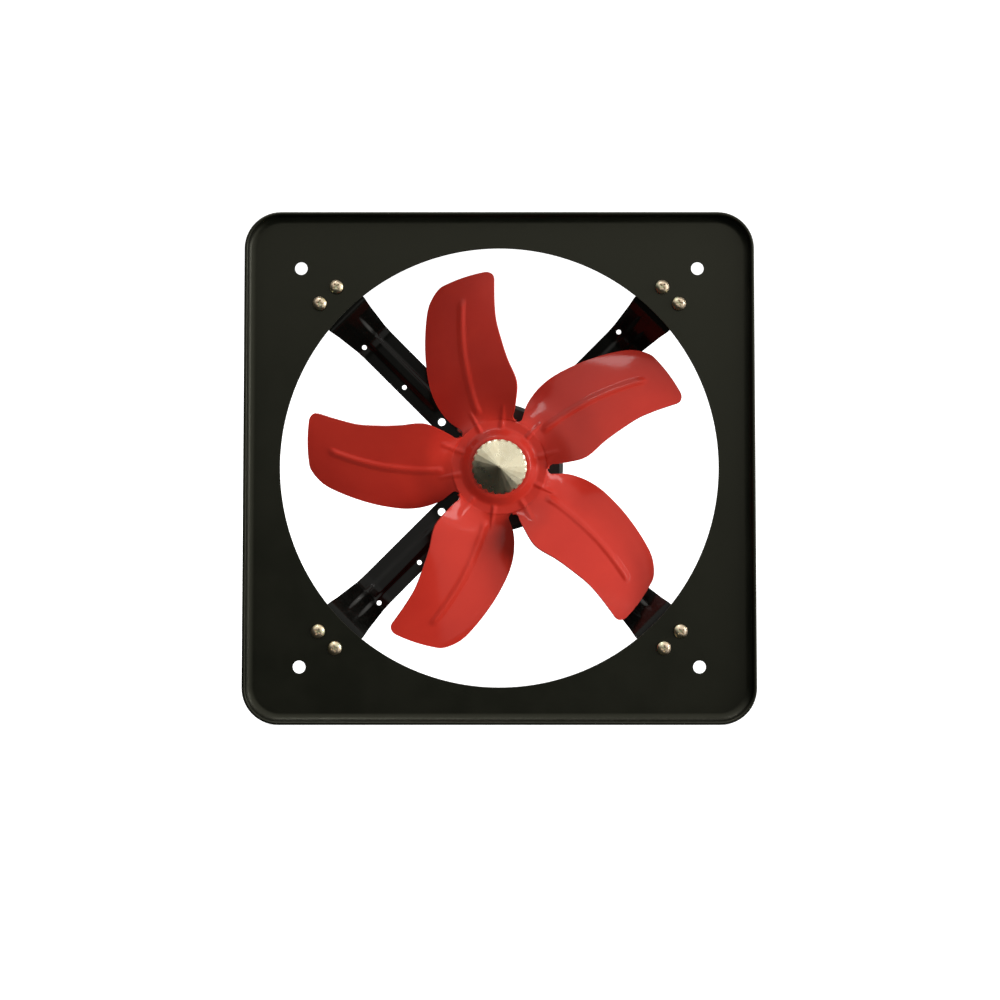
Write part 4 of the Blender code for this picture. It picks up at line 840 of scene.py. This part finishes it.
def frame_section():
    """(inset from the outside, y) points from the rear face round the rim to the front face."""
    outer = FRAME_BEND + FRAME_SHEET
    rings = []
    for step in range(9):
        turn = math.radians(90 * step / 8)
        rings.append((outer * (1 - math.sin(turn)), -outer * (1 - math.cos(turn))))
    lip = FRAME_HEM / 2
    for step in range(9):
        turn = math.radians(180 * step / 8)
        rings.append((lip * (1 - math.cos(turn)), -FRAME_DEPTH + lip * (1 - math.sin(turn))))
    hem_end = -FRAME_DEPTH + FRAME_HEM_LENGTH
    rings += [(FRAME_HEM, hem_end - 0.0006), (FRAME_HEM - 0.0006, hem_end), (FRAME_SHEET, hem_end)]
    for step in range(9):
        turn = math.radians(90 - 90 * step / 8)
        rings.append((FRAME_SHEET + FRAME_BEND * (1 - math.sin(turn)),
                      -FRAME_SHEET - FRAME_BEND * (1 - math.cos(turn))))
    return rings


def make_frame():
    loops = []
    for inset, y in frame_section():
        half = FRAME_HALF - inset
        outline = rounded_rectangle(half, half, FRAME_CORNER - inset, 14)
        loops.append([(x, y, z) for x, z in outline])
    through = (-2 * FRAME_SHEET, FRAME_SHEET)
    tools = [hole(OPENING_RADIUS, *through, steps=240)]
    for x in (-MOUNT_HALF_PITCH, MOUNT_HALF_PITCH):
        for z in (-MOUNT_HALF_PITCH, MOUNT_HALF_PITCH):
            tools.append(hole(MOUNT_HOLE_RADIUS, *through, x, z))
    for angle in ARM_ANGLES.values():
        for side in (-FRAME_BOLT_SPREAD, FRAME_BOLT_SPREAD):
            x, z = diagonal(FRAME_BOLT_RADIUS, angle, side)
            tools.append(hole(M6_HOLE, *through, x, z))
    mesh = cut(bridged("frame_sheet", loops), *tools)
    mesh = softened(mesh, 0.0003, 3)
    return show("frame_sheet", mesh, satin_black, "housing", "frame_plate")


make_frame()
print("frame:", len(bpy.data.meshes["frame_sheet"].polygons), "faces")

# %% [markdown]
# ## Arms
# A strip of sheet steel bent from the frame's corner back to the motor, with a rib pressed
# along its middle that fades out at the foot and at the pad.

# %% Arms


def arm_path():
    """(radius, y of the front face) along an arm, with round bends."""
    corners = [(0.194, 0.0003), (0.1605, 0.0003), (0.1545, 0.0098), (0.1400, 0.0378),
               (0.1330, 0.0428), (0.0740, 0.0504), (0.0620, ARM_PAD_FRONT), (0.0350, ARM_PAD_FRONT)]
    line = filleted(corners, [0, 0.008, 0.02, 0.012, 0.012, 0.05, 0.05, 0], 6)
    path = [line[0]]
    for start, end in zip(line, line[1:]):
        length = math.dist(start, end)
        steps = max(1, round(length / 0.0025))
        for step in range(1, steps + 1):
            t = step / steps
            path.append((start[0] + (end[0] - start[0]) * t, start[1] + (end[1] - start[1]) * t))
    return path


ARM_COLUMNS = 40
ARM_HALF_WIDTH = ((0.0350, 0.0105), (0.0388, 0.0145), (0.0620, 0.0145), (0.1330, 0.0145),
                  (0.1400, 0.0148), (0.1545, 0.0167), (0.1605, 0.0180), (0.1890, 0.0180),
                  (0.1940, 0.0120))


def straight(stations, x):
    """Read a straight-line table."""
    for (x0, y0), (x1, y1) in zip(stations, stations[1:]):
        if x <= x1:
            return y0 + (y1 - y0) * max(x - x0, 0) / (x1 - x0)
    return stations[-1][1]


def make_arm_mesh():
    path = arm_path()
    rows = []
    for i, (radius, y) in enumerate(path):
        before = path[max(i - 1, 0)]
        after = path[min(i + 1, len(path) - 1)]
        run = Vector((after[0] - before[0], after[1] - before[1])).normalized()
        forward = Vector((run.y, -run.x))
        forward = forward if forward.y < 0 else -forward
        rib = smooth_step(0.066, 0.078, radius) * (1 - smooth_step(0.146, 0.158, radius))
        half = straight(ARM_HALF_WIDTH, radius)
        row = []
        for column in range(ARM_COLUMNS + 1):
            side = half * (2 * column / ARM_COLUMNS - 1)
            lift = ARM_RIB * rib * (1 - smooth_step(0.0030, 0.0062, abs(side)))
            row.append((radius + forward.x * lift, y + forward.y * lift, side))
        rows.append(row)
    mesh = pressed_sheet("arm", [rows], ARM_SHEET)
    reach = (-0.02, 0.08)
    spots = ((0.139, 0.0085, 0.00185), (0.0960, 0.0085, 0.00185), (ARM_PAD_HOLES, 0.0070, 0.0030),
             (ARM_PAD_HOLES, -0.0070, 0.0030), (FRAME_BOLT_RADIUS, FRAME_BOLT_SPREAD, M6_HOLE),
             (FRAME_BOLT_RADIUS, -FRAME_BOLT_SPREAD, M6_HOLE), (THROUGH_BOLT_RADIUS, 0, M4_HOLE))
    mesh = cut(mesh, *[hole(size, *reach, radius, side, 28) for radius, side, size in spots])
    return softened(mesh, 0.00025, 2)


arm_mesh = make_arm_mesh()
# The arms wear the frame's black paint made darker, as painted shade.
for place_name, angle in ARM_ANGLES.items():
    show(f"support_arm_{place_name}", arm_mesh, arm_shade_black, "housing", f"arm_{place_name}",
         angle=angle)
print("arms:", len(arm_mesh.polygons), "faces each")

# %% [markdown]
# ## Fasteners
# Pan-head bolts with a cross recess, and chamfered hexagon nuts with the thread showing.

# %% Fasteners


def cross(reach, half_width, front, rear):
    """A cutter for a cross recess."""
    a, b = reach, half_width
    outline = [(a, -b), (a, b), (b, b), (b, a), (-b, a), (-b, b), (-a, b), (-a, -b), (-b, -b),
               (-b, -a), (b, -a), (b, -b)]
    return extruded("cross", outline, front, rear)


def thread(radius, start, end, pitch):
    """The zigzag outline of a screw thread, as (radius, y) points."""
    points = []
    turns = int((end - start) / pitch)
    for i in range(turns):
        y = start + i * pitch
        points += [(radius, y), (radius - 0.5 * pitch, y + 0.5 * pitch)]
    return points


def pan_bolt(name, shank, length, head, height, pitch, thread_from):
    """A pan-head bolt along Y, its head's seat at y = 0 and its shank running to +Y."""
    outline = [(0, -height), (head * 0.30, -height), (head * 0.5, -height * 0.45), (head * 0.5, 0),
               (shank / 2, 0), (shank / 2, thread_from)]
    radii = [0, head * 0.35, height * 0.35, height * 0.08, 0, 0]
    profile = filleted(outline, radii, 6)
    profile += thread(shank / 2, thread_from + pitch / 2, length - 0.0006, pitch)
    profile += [(shank / 2 - 0.0006, length), (0, length)]
    mesh = turned(name, profile, 40)
    return softened(cut(mesh, cross(head * 0.24, head * 0.055, -height - 0.001, -height * 0.35)),
                    0.00012, 2, 60)


def hex_nut(name, corner, bore, height):
    """A hexagon nut along Y with both faces chamfered."""
    chamfer = corner * 0.14
    body = turned(name, [(0, 0), (corner - chamfer, 0), (corner, chamfer * 0.6),
                         (corner, height - chamfer * 0.6), (corner - chamfer, height), (0, height)],
                  72, 20)
    body = boolean(body, extruded("hexagon", circle(corner, 6), -PAST, height + PAST), "INTERSECT")
    return softened(cut(body, hole(bore, -PAST, height + PAST)), 0.00012, 2, 25, 20)


arm_bolt = pan_bolt("arm_bolt_fine", 0.006, 0.0112, 0.0104, 0.0036, 0.001, 0.0030)
arm_nut = hex_nut("arm_nut_fine", 0.00575, 0.0033, NUT_HEIGHT)
through_bolt = pan_bolt("through_bolt_fine", 0.004, MOTOR_REAR - 0.001 - ARM_PAD_FRONT + GAP,
                        0.0075, 0.003, 0.0007, 0.070)
for place_name, angle in ARM_ANGLES.items():
    for number, side in enumerate((-FRAME_BOLT_SPREAD, FRAME_BOLT_SPREAD), 1):
        x, z = diagonal(FRAME_BOLT_RADIUS, angle, side)
        label = f"{place_name}_{number}"
        show(f"pan_bolt_{label}", arm_bolt, yellow_zinc, "housing", f"arm_bolt_{label}",
             (x, -FRAME_SHEET - GAP, z), angle * 1.3 + 40 * number)
        show(f"hex_nut_{label}", arm_nut, yellow_zinc, "housing", f"arm_nut_{label}",
             (x, 2 * GAP + ARM_SHEET, z), angle)
    x, z = diagonal(THROUGH_BOLT_RADIUS, angle)
    show(f"through_bolt_{place_name}", through_bolt, bright_steel, "housing",
         f"motor_bolt_{place_name}", (x, ARM_PAD_FRONT - GAP, z), angle + 20)
print("fasteners: 8 bolts, 8 nuts, 4 long bolts")

# %% [markdown]
# ## Motor
# Two cast covers and a rolled shell between them.

# %% Motor


def bolt_tools(front, rear):
    spots = [diagonal(THROUGH_BOLT_RADIUS, angle) for angle in ARM_ANGLES.values()]
    return [hole(M4_HOLE, front, rear, x, z) for x, z in spots]


def make_front_cover():
    face = MOTOR_FRONT
    joint = SHELL_FRONT - GAP
    nose = face - 0.0041
    spigot = joint + SPIGOT_LENGTH
    inside = face + COVER_WALL
    shoulder, end = FRONT_SEAT
    bore = 0.0067
    outline = [(bore, nose), (0.017, nose), (COVER_BOSS, face), (0.047, face),
               (MOTOR_RADIUS, face + 0.003), (MOTOR_RADIUS, joint - 0.0012),
               (MOTOR_JOINT, joint - 0.0006), (MOTOR_JOINT, joint),
               (SPIGOT_OUTER, joint), (SPIGOT_OUTER, spigot), (SPIGOT_INNER, spigot),
               (SPIGOT_INNER, inside), (COVER_BOSS, inside), (COVER_BOSS, end),
               (BEARING_SEAT, end), (BEARING_SEAT, shoulder), (bore, shoulder), (bore, nose)]
    radii = [0, 0.001, 0.003, 0.001, 0.002, 0.0003, 0.0002, 0, 0, 0, 0, 0.001, 0.001, 0, 0, 0, 0, 0]
    mesh = turned("front_cover_fine", filleted(outline, radii)[:-1], 128)
    mesh = softened(cut(mesh, *bolt_tools(face - PAST, joint + PAST)), 0.0002)
    show("motor_front_cover", mesh, motor_black, "housing", "front_cover")


def make_rear_cover():
    face = MOTOR_REAR
    joint = SHELL_REAR + GAP
    spigot = joint - SPIGOT_LENGTH
    inside = face - REAR_COVER_WALL
    shoulder, end = REAR_SEAT
    outline = [(0, face), (0.040, face), (0.0408, face - 0.0006), (0.0418, face - 0.0006),
               (0.0426, face), (0.047, face), (MOTOR_RADIUS, face - 0.003),
               (MOTOR_RADIUS, joint + 0.0012), (MOTOR_JOINT, joint + 0.0006), (MOTOR_JOINT, joint),
               (SPIGOT_OUTER, joint), (SPIGOT_OUTER, spigot), (SPIGOT_INNER, spigot),
               (SPIGOT_INNER, inside), (COVER_BOSS, inside), (COVER_BOSS, end),
               (BEARING_SEAT, end), (BEARING_SEAT, shoulder), (0, shoulder)]
    radii = [0, 0.0004, 0.0004, 0.0004, 0.0004, 0.001, 0.002, 0.0003, 0.0002, 0, 0, 0, 0, 0.001,
             0.001, 0, 0, 0, 0]
    mesh = turned("rear_cover_fine", filleted(outline, radii), 128)
    tools = bolt_tools(joint - PAST, face - 0.0008)
    tools += [hole(M4_HOLE, face - 0.0048, face + PAST, x) for x in BOX_SCREWS_X]
    mesh = softened(cut(mesh, *tools), 0.0002)
    show("motor_rear_cover", mesh, motor_black, "housing", "rear_cover")


def make_shell():
    """The rolled shell, with a shallow bead near each end."""
    edge = MOTOR_RADIUS - 0.0004
    outline = [(SHELL_BORE, SHELL_FRONT), (edge, SHELL_FRONT), (MOTOR_RADIUS, SHELL_FRONT + 0.0006)]
    for middle in (SHELL_FRONT + 0.006, SHELL_REAR - 0.006):
        for step in range(9):
            t = step / 4 - 1
            outline.append((MOTOR_RADIUS - 0.0007 * 0.5 * (1 + math.cos(math.pi * t)),
                            middle + t * 0.0018))
    outline += [(MOTOR_RADIUS, SHELL_REAR - 0.0006), (edge, SHELL_REAR), (SHELL_BORE, SHELL_REAR)]
    mesh = turned("shell_fine", outline, 160)
    show("motor_body", mesh, motor_black, "housing", "motor_shell")


make_front_cover()
make_rear_cover()
make_shell()
print("motor: two covers and a shell")

# %% [markdown]
# ## Impeller
# One red stamping. The formula is the CAD part's, read on a much finer grid, with the short
# pressed darts that stiffen each blade's root added.

# %% Impeller
DARTS = (-15.5, 16.5)            # angle of each dart from the blade's centre line
DART_START = 0.0275
DART_END = 0.0490
DART_HALF_WIDTH = 0.0030
DART_HEIGHT = 0.0011


def tip_radius(t, width):
    radius = TIP_RADIUS_LEADING + (TIP_RADIUS_TRAILING - TIP_RADIUS_LEADING) * t
    for corner, distance in ((TIP_CORNER_LEADING, t * width),
                             (TIP_CORNER_TRAILING, (1 - t) * width)):
        if distance < corner:
            radius -= corner - math.sqrt(corner**2 - (corner - distance)**2)
    return radius


def blade_edges(radius):
    slot_end = HUB_RADIUS + SLOT_HALF_WIDTH
    if radius > slot_end + 0.003:
        return along(LEADING_EDGE, radius), along(TRAILING_EDGE, radius)
    inset = max(slot_end - radius, 0.0)
    half = math.sqrt(max(SLOT_HALF_WIDTH**2 - inset**2, 0.0))
    half_angle = math.degrees(half / radius)
    at_slot = SLOT_CENTRE + half_angle, SLOT_CENTRE + 360 / BLADE_COUNT - half_angle
    free = along(LEADING_EDGE, radius), along(TRAILING_EDGE, radius)
    share = smooth_step(slot_end, slot_end + 0.003, radius)
    return tuple(a + (b - a) * share for a, b in zip(at_slot, free))


def dart_height(radius, angle):
    """How far the pressed darts stand towards the front at a place on a blade."""
    height = 0.0
    for line in DARTS:
        off = math.radians(abs(angle - line)) * radius
        ends = (smooth_step(DART_START, DART_START + 0.004, radius)
                * (1 - smooth_step(DART_END - 0.006, DART_END, radius)))
        width = DART_HALF_WIDTH * (1 - 0.45 * smooth_step(DART_START, DART_END, radius))
        if off < width:
            height += DART_HEIGHT * 0.5 * (1 + math.cos(math.pi * off / width)) * ends
    return height


def blade_point(s, u):
    """A blade's front face at a share s of its length and u of its width."""
    tip_width = TIP_RADIUS_LEADING * math.radians(
        along(TRAILING_EDGE, TIP_RADIUS_TRAILING) - along(LEADING_EDGE, TIP_RADIUS_TRAILING))
    radius = HUB_RADIUS + s * (tip_radius(u, tip_width) - HUB_RADIUS)
    leading, trailing = blade_edges(radius)
    bead = (along(BEAD_LINE, radius) - leading) / (trailing - leading)
    t = u + (bead - 0.5) * 4 * u * (1 - u)
    angle = leading + t * (trailing - leading)
    width = radius * math.radians(trailing - leading)
    rise = width * math.tan(math.radians(along(BLADE_PITCH, radius)))
    bend = smooth_step(HUB_RADIUS, HUB_RADIUS + 0.02, radius)
    y = HUB_BACK + rise * (t - 0.5) - CAMBER * 4 * t * (1 - t) * bend
    off_bead = abs(t - bead) * width / BEAD_HALF_WIDTH
    if off_bead < 1:
        ends = (smooth_step(BEAD_START, BEAD_START + 0.006, radius)
                * (1 - smooth_step(BEAD_END - 0.006, BEAD_END, radius)))
        y -= BEAD_HEIGHT * 0.5 * (1 + math.cos(math.pi * off_bead)) * ends
    return radius, angle, y - dart_height(radius, angle)


def centre_point(radius, angle):
    """The stepped centre inside the blades' roots."""
    step = smooth_step(HUB_FLAT_RADIUS, HUB_STEP_RADIUS, radius)
    return HUB_FRONT + HUB_STEP * step - dart_height(radius, angle)


def spread(low, high, count):
    return [low + (high - low) * i / count for i in range(count)]


def blade_grid(turn):
    """Rows of points on one fifth of the stamping, from the centre to a blade's tip."""
    across = (spread(0, 0.03, 3) + spread(0.03, 0.40, 16) + spread(0.40, 0.60, 20)
              + spread(0.60, 0.97, 16) + spread(0.97, 1, 3) + [1.0])
    lengths = [0.045 * (i / 18)**2 for i in range(18)]
    lengths += spread(0.045, 0.14, 12) + spread(0.14, 0.96, 60)
    lengths += spread(0.96, 1, 4) + [1.0]
    inner = spread(HUB_BORE, 0.020, 6) + spread(0.020, 0.0315, 22) + spread(0.0315, HUB_RADIUS, 6)
    rows = []
    for radius in inner:
        angles = [blade_point(0, u)[1] for u in across]
        places = [(diagonal(radius, turn + angle), angle) for angle in angles]
        rows.append([(x, centre_point(radius, angle), z) for (x, z), angle in places])
    for s in lengths:
        points = [blade_point(s, u) for u in across]
        places = [(diagonal(radius, turn + angle), y) for radius, angle, y in points]
        rows.append([(x, y, z) for (x, z), y in places])
    return rows


def make_impeller():
    turns = [BLADE_ANGLE - blade * 360 / BLADE_COUNT for blade in range(BLADE_COUNT)]
    sheet = pressed_sheet("fan_blades", [blade_grid(turn) for turn in turns], BLADE_SHEET,
                          even=False, weld=2e-5)
    mesh = softened(sheet, 0.0003, 2, 60, 60)
    return show("fan_blades", mesh, red_enamel, "rotor", "impeller")


make_impeller()
print("impeller:", len(bpy.data.meshes["fan_blades"].polygons), "faces")

# %% [markdown]
# ## Hub, shaft and cone nut
# The parts that carry the impeller: a faceted nut with a knurled rim in front, a toothed washer
# under it, and a sleeve and a stepped shaft behind.

# %% Hub and nut
NUT_FACETS = 24


def make_cone_nut():
    """A shallow cone of 24 flats over a knurled rim."""
    rim_front = SPINNER_BASE - 0.002
    cone_foot = rim_front - 0.0006
    cone_radius = SPINNER_RADIUS - 0.0012
    top = SPINNER_BASE - SPINNER_HEIGHT
    slope = (cone_foot - top) / cone_radius
    sides = 12 * NUT_FACETS
    loops = []
    for radius, notch, y in ((SPINNER_RADIUS - 0.0003, 0, SPINNER_BASE),
                             (SPINNER_RADIUS, 0.0002, SPINNER_BASE - 0.0003),
                             (SPINNER_RADIUS, 0.0007, SPINNER_BASE - 0.0007),
                             (SPINNER_RADIUS, 0.0007, rim_front + 0.0003),
                             (SPINNER_RADIUS - 0.0003, 0.0005, rim_front)):
        loop = []
        for i in range(sides):
            wave = 0.5 + 0.5 * math.cos(math.tau * i / sides * NUT_FACETS)
            x, z = diagonal(radius - notch * wave**2, i * 360 / sides)
            loop.append((x, y, z))
        loops.append(loop)
    for radius in (cone_radius, 0.0008):
        loop = []
        for i in range(sides):
            part = (i / sides * NUT_FACETS) % 1
            flat = radius * math.cos(math.pi / NUT_FACETS)
            reach = flat / math.cos((part - 0.5) * math.tau / NUT_FACETS)
            x, z = diagonal(reach, i * 360 / sides)
            loop.append((x, top + slope * radius, z))
        loops.append(loop)
    mesh = bridged("cone_nut", loops, smooth_angle=4)
    mesh = cut(mesh, hole(0.0100, SPINNER_BASE - 0.0013, SPINNER_BASE + PAST),
               hole(HUB_BORE, SPINNER_BASE - 0.0065, SPINNER_BASE + PAST))
    bm = bmesh.new()
    bm.from_mesh(mesh)
    for edge in bm.edges:
        on_cone = all(vert.co.y < rim_front - 0.0005 for vert in edge.verts)
        edge.smooth = edge.calc_face_angle(0) < math.radians(4 if on_cone else 40)
    bm.to_mesh(mesh)
    bm.free()
    show("cone_nut", mesh, champagne_nickel, "rotor", "spinner_nut")


def make_hub_sleeve():
    front = HUB_FRONT + BLADE_SHEET + GAP
    rear = 0.0460
    bore, barrel, flange = 0.006, 0.0117, 0.0192
    outline = [(bore, front), (flange, front), (flange, front + 0.003), (barrel, front + 0.003),
               (barrel, rear), (bore, rear), (bore, front)]
    radii = [0, 0.0005, 0.0008, 0.002, 0.0008, 0.0004, 0]
    mesh = turned("hub_sleeve", filleted(outline, radii)[:-1], 96)
    drill = extruded("drill", circle(0.0028, 32), 0, 0.0234)
    upright = Matrix.Translation((0, rear - 0.0075, 0)) @ Matrix.Rotation(math.pi / 2, 4, "X")
    mesh = softened(cut(mesh, moved(drill, upright)), 0.0002)
    show("hub_sleeve", mesh, bright_steel, "rotor", "hub_boss")


def make_shaft():
    start = SPINNER_BASE - SPINNER_HEIGHT + 0.0053
    seat = HUB_FRONT + BLADE_SHEET
    threaded, rotor_seat, collar = 0.005, 0.007, 0.0085
    rotor_start, rotor_end, collar_end, end = 0.0667, 0.1173, 0.1198, 0.1301
    chamfer = 0.0008
    profile = [(0, start), (threaded - chamfer, start)]
    profile += thread(threaded, start + chamfer, seat, 0.00125)
    profile += [(threaded, seat - 0.0002), (SHAFT_RADIUS, seat), (SHAFT_RADIUS, rotor_start),
                (rotor_seat, rotor_start), (rotor_seat, rotor_end), (collar, rotor_end),
                (collar, collar_end), (SHAFT_RADIUS, collar_end), (SHAFT_RADIUS, end - chamfer),
                (SHAFT_RADIUS - chamfer, end), (0, end)]
    show("motor_shaft", turned("motor_shaft", profile, 64), bright_steel, "rotor", "shaft")


def make_toothed_washer():
    teeth = 24
    root, tip = 0.0088, 0.0097
    outline = []
    for i in range(teeth):
        for part, radius in ((0.15, root), (0.30, tip), (0.70, tip), (0.85, root)):
            outline.append(diagonal(radius, (i + part) * 360 / teeth))
    mesh = extruded("toothed_washer", outline, SPINNER_BASE - 0.001, SPINNER_BASE, 20)
    mesh = cut(mesh, hole(HUB_BORE, SPINNER_BASE - PAST, SPINNER_BASE + PAST))
    show("toothed_washer", mesh, bright_steel, "rotor", "lock_washer")


make_cone_nut()
make_hub_sleeve()
make_shaft()
make_toothed_washer()
print("hub: nut, sleeve, shaft and washer")

# %% [markdown]
# ## Terminal box
# A moulded box on the motor's rear cover, its lid held by two screws, and the cable gland
# below it with a fluted cap.

# %% Terminal box


def slab(name, half_x, half_z, corner, front, rear, edge):
    """A rounded block whose rear outer edge is soft."""
    loops = []
    for inset, y in ((0, front), (0, rear - edge), (edge * 0.3, rear - edge * 0.3), (edge, rear)):
        outline = rounded_rectangle(half_x - inset, half_z - inset, corner - inset, 10)
        loops.append([(x, y, z) for x, z in outline])
    return bridged(name, loops)


def make_box():
    block = slab("wiring_box", BOX_HALF_X, BOX_HALF_Z, BOX_CORNER, BOX_FRONT, BOX_REAR, 0.0001)
    hollow = extruded("hollow", rounded_rectangle(BOX_HALF_X - BOX_WALL, BOX_HALF_Z - BOX_WALL,
                                                  BOX_CORNER - BOX_WALL, 10),
                      BOX_FRONT + BOX_WALL, BOX_REAR + PAST)
    mesh = cut(block, hollow)
    bosses = [extruded("boss", circle(0.0048, 40, x, z), BOX_FRONT + 0.001, BOX_REAR - GAP)
              for x, z in LID_SCREWS]
    mesh = boolean(mesh, joined("bosses", bosses), "UNION")
    tools = [hole(M4_HOLE, BOX_REAR - PAST, BOX_REAR + PAST, x, z) for x, z in LID_SCREWS]
    tools += [hole(M4_HOLE, BOX_FRONT - PAST, BOX_FRONT + PAST, x) for x in BOX_SCREWS_X]
    entry = extruded("entry", circle(0.0078, 48), -PAST, PAST)
    floor = Matrix.Translation((0, GLAND_Y, -BOX_HALF_Z)) @ Matrix.Rotation(math.pi / 2, 4, "X")
    mesh = softened(cut(mesh, *tools, moved(entry, floor)), 0.0003, 2, 60)
    show("wiring_box", mesh, black_plastic, "housing", "terminal_box")


def make_lid():
    front = BOX_REAR + GAP
    rear = front + LID_THICKNESS
    mesh = slab("wiring_box_lid", BOX_HALF_X, BOX_HALF_Z, BOX_CORNER, front, rear, 0.0009)
    outer = rounded_rectangle(0.0200, 0.0160, 0.004, 8)
    inner = slab("island", 0.0188, 0.0148, 0.003, rear - 0.002, rear + 0.001, 0.0001)
    groove = cut(extruded("groove", outer, rear - 0.0005, rear + 0.002), inner)
    tools = [hole(M4_HOLE, front - PAST, front + PAST, x, z) for x, z in LID_SCREWS]
    mesh = softened(cut(mesh, groove, *tools), 0.00015, 2, 60)
    show("wiring_box_lid", mesh, black_plastic, "housing", "box_lid")
    screw = pan_bolt("lid_screw_fine", 0.004, 0.010, 0.0074, 0.0024, 0.0007, 0.004)
    screw = moved(screw, Matrix.Rotation(math.pi, 4, "X"))
    for number, (x, z) in enumerate(LID_SCREWS, 1):
        show(f"cover_screw_{number}", screw, bright_steel, "housing", f"lid_screw_{number}",
             (x, rear + GAP, z), 25 * number)


def make_gland():
    """The gland's parts stand along +Y here and are then turned to point down."""
    wall = BOX_HALF_Z
    hex_end = wall + GAP + 0.004
    cap_front = hex_end + GAP
    cap_end = cap_front + 0.010
    inside = wall - BOX_WALL - 0.0038
    flip = Matrix.Translation((0, GLAND_Y, 0)) @ Matrix.Rotation(-math.pi / 2, 4, "X")
    bore, neck, screw, corner = 0.004, 0.0065, 0.0075, 0.010
    outline = [(bore, inside), (screw - 0.0004, inside)]
    outline += thread(screw, inside + 0.0004, wall + GAP, 0.001)
    outline += [(screw, wall + GAP), (neck, wall + GAP + 0.0001), (neck, cap_end - 0.0031),
                (bore, cap_end - 0.0031)]
    body = turned("gland_body_fine", outline, 64)
    collar = hex_nut("collar", corner, 0.0062, 0.004)
    body = boolean(body, moved(collar, Matrix.Translation((0, wall + GAP, 0))), "UNION")
    show("cord_gland", moved(body, flip), black_plastic, "housing", "gland_body")
    rows = []
    sides = 144
    for radius, flute, y in ((0.0068, 0, cap_front), (0.0088, 0, cap_front),
                             (0.0092, 0.0005, cap_front + 0.0005),
                             (0.0092, 0.0005, cap_end - 0.0032), (0.0089, 0.0001, cap_end - 0.0026),
                             (0.0066, 0, cap_end - 0.0003), (0.0061, 0, cap_end), (bore, 0, cap_end),
                             (bore, 0, cap_end - 0.0025), (0.0068, 0, cap_end - 0.0025),
                             (0.0068, 0, cap_front)):
        loop = []
        for i in range(sides):
            dip = flute * 0.5 * (1 - math.cos(math.tau * i / sides * 18))
            x, z = diagonal(radius - dip, i * 360 / sides)
            loop.append((x, y, z))
        rows.append(loop)
    bm = bmesh.new()
    bm.from_mesh(bridged("cap", rows, caps=False))
    bmesh.ops.remove_doubles(bm, verts=bm.verts, dist=1e-7)
    cap = to_mesh("gland_cap_fine", bm)
    show("gland_cap", moved(cap, flip), black_plastic, "housing", "gland_cap_nut")


make_box()
make_lid()
make_gland()
print("terminal box: box, lid, two screws, gland")

# %% [markdown]
# ## Pieces shown as their CAD nodes
# The windings, core, bearings and what is in the box keep their CAD shapes. Each gets its
# finish here.

# %% CAD nodes
CAD_FINISHES = {
    "core_steel": laminations,
    "winding_wire": copper_winding,
    "bright_steel": bright_steel,
    "black_plastic": black_plastic,
    "grey_plastic": grey_plastic,
}
kept = 0
for entry in frame["record"]["subparts"]:
    cad = frame["nodes"][entry["node"]]
    if cad.hide_render:
        continue
    finish = dark_steel if entry["node"] == "hub_grub_screw" else CAD_FINISHES[entry["material_slot"]]
    cad.data.materials.clear()
    cad.data.materials.append(finish)
    kept += 1
print("shown as CAD nodes:", kept, "and as finer pieces:", len(shown))

# %% Finish
bpy.context.view_layer.update()
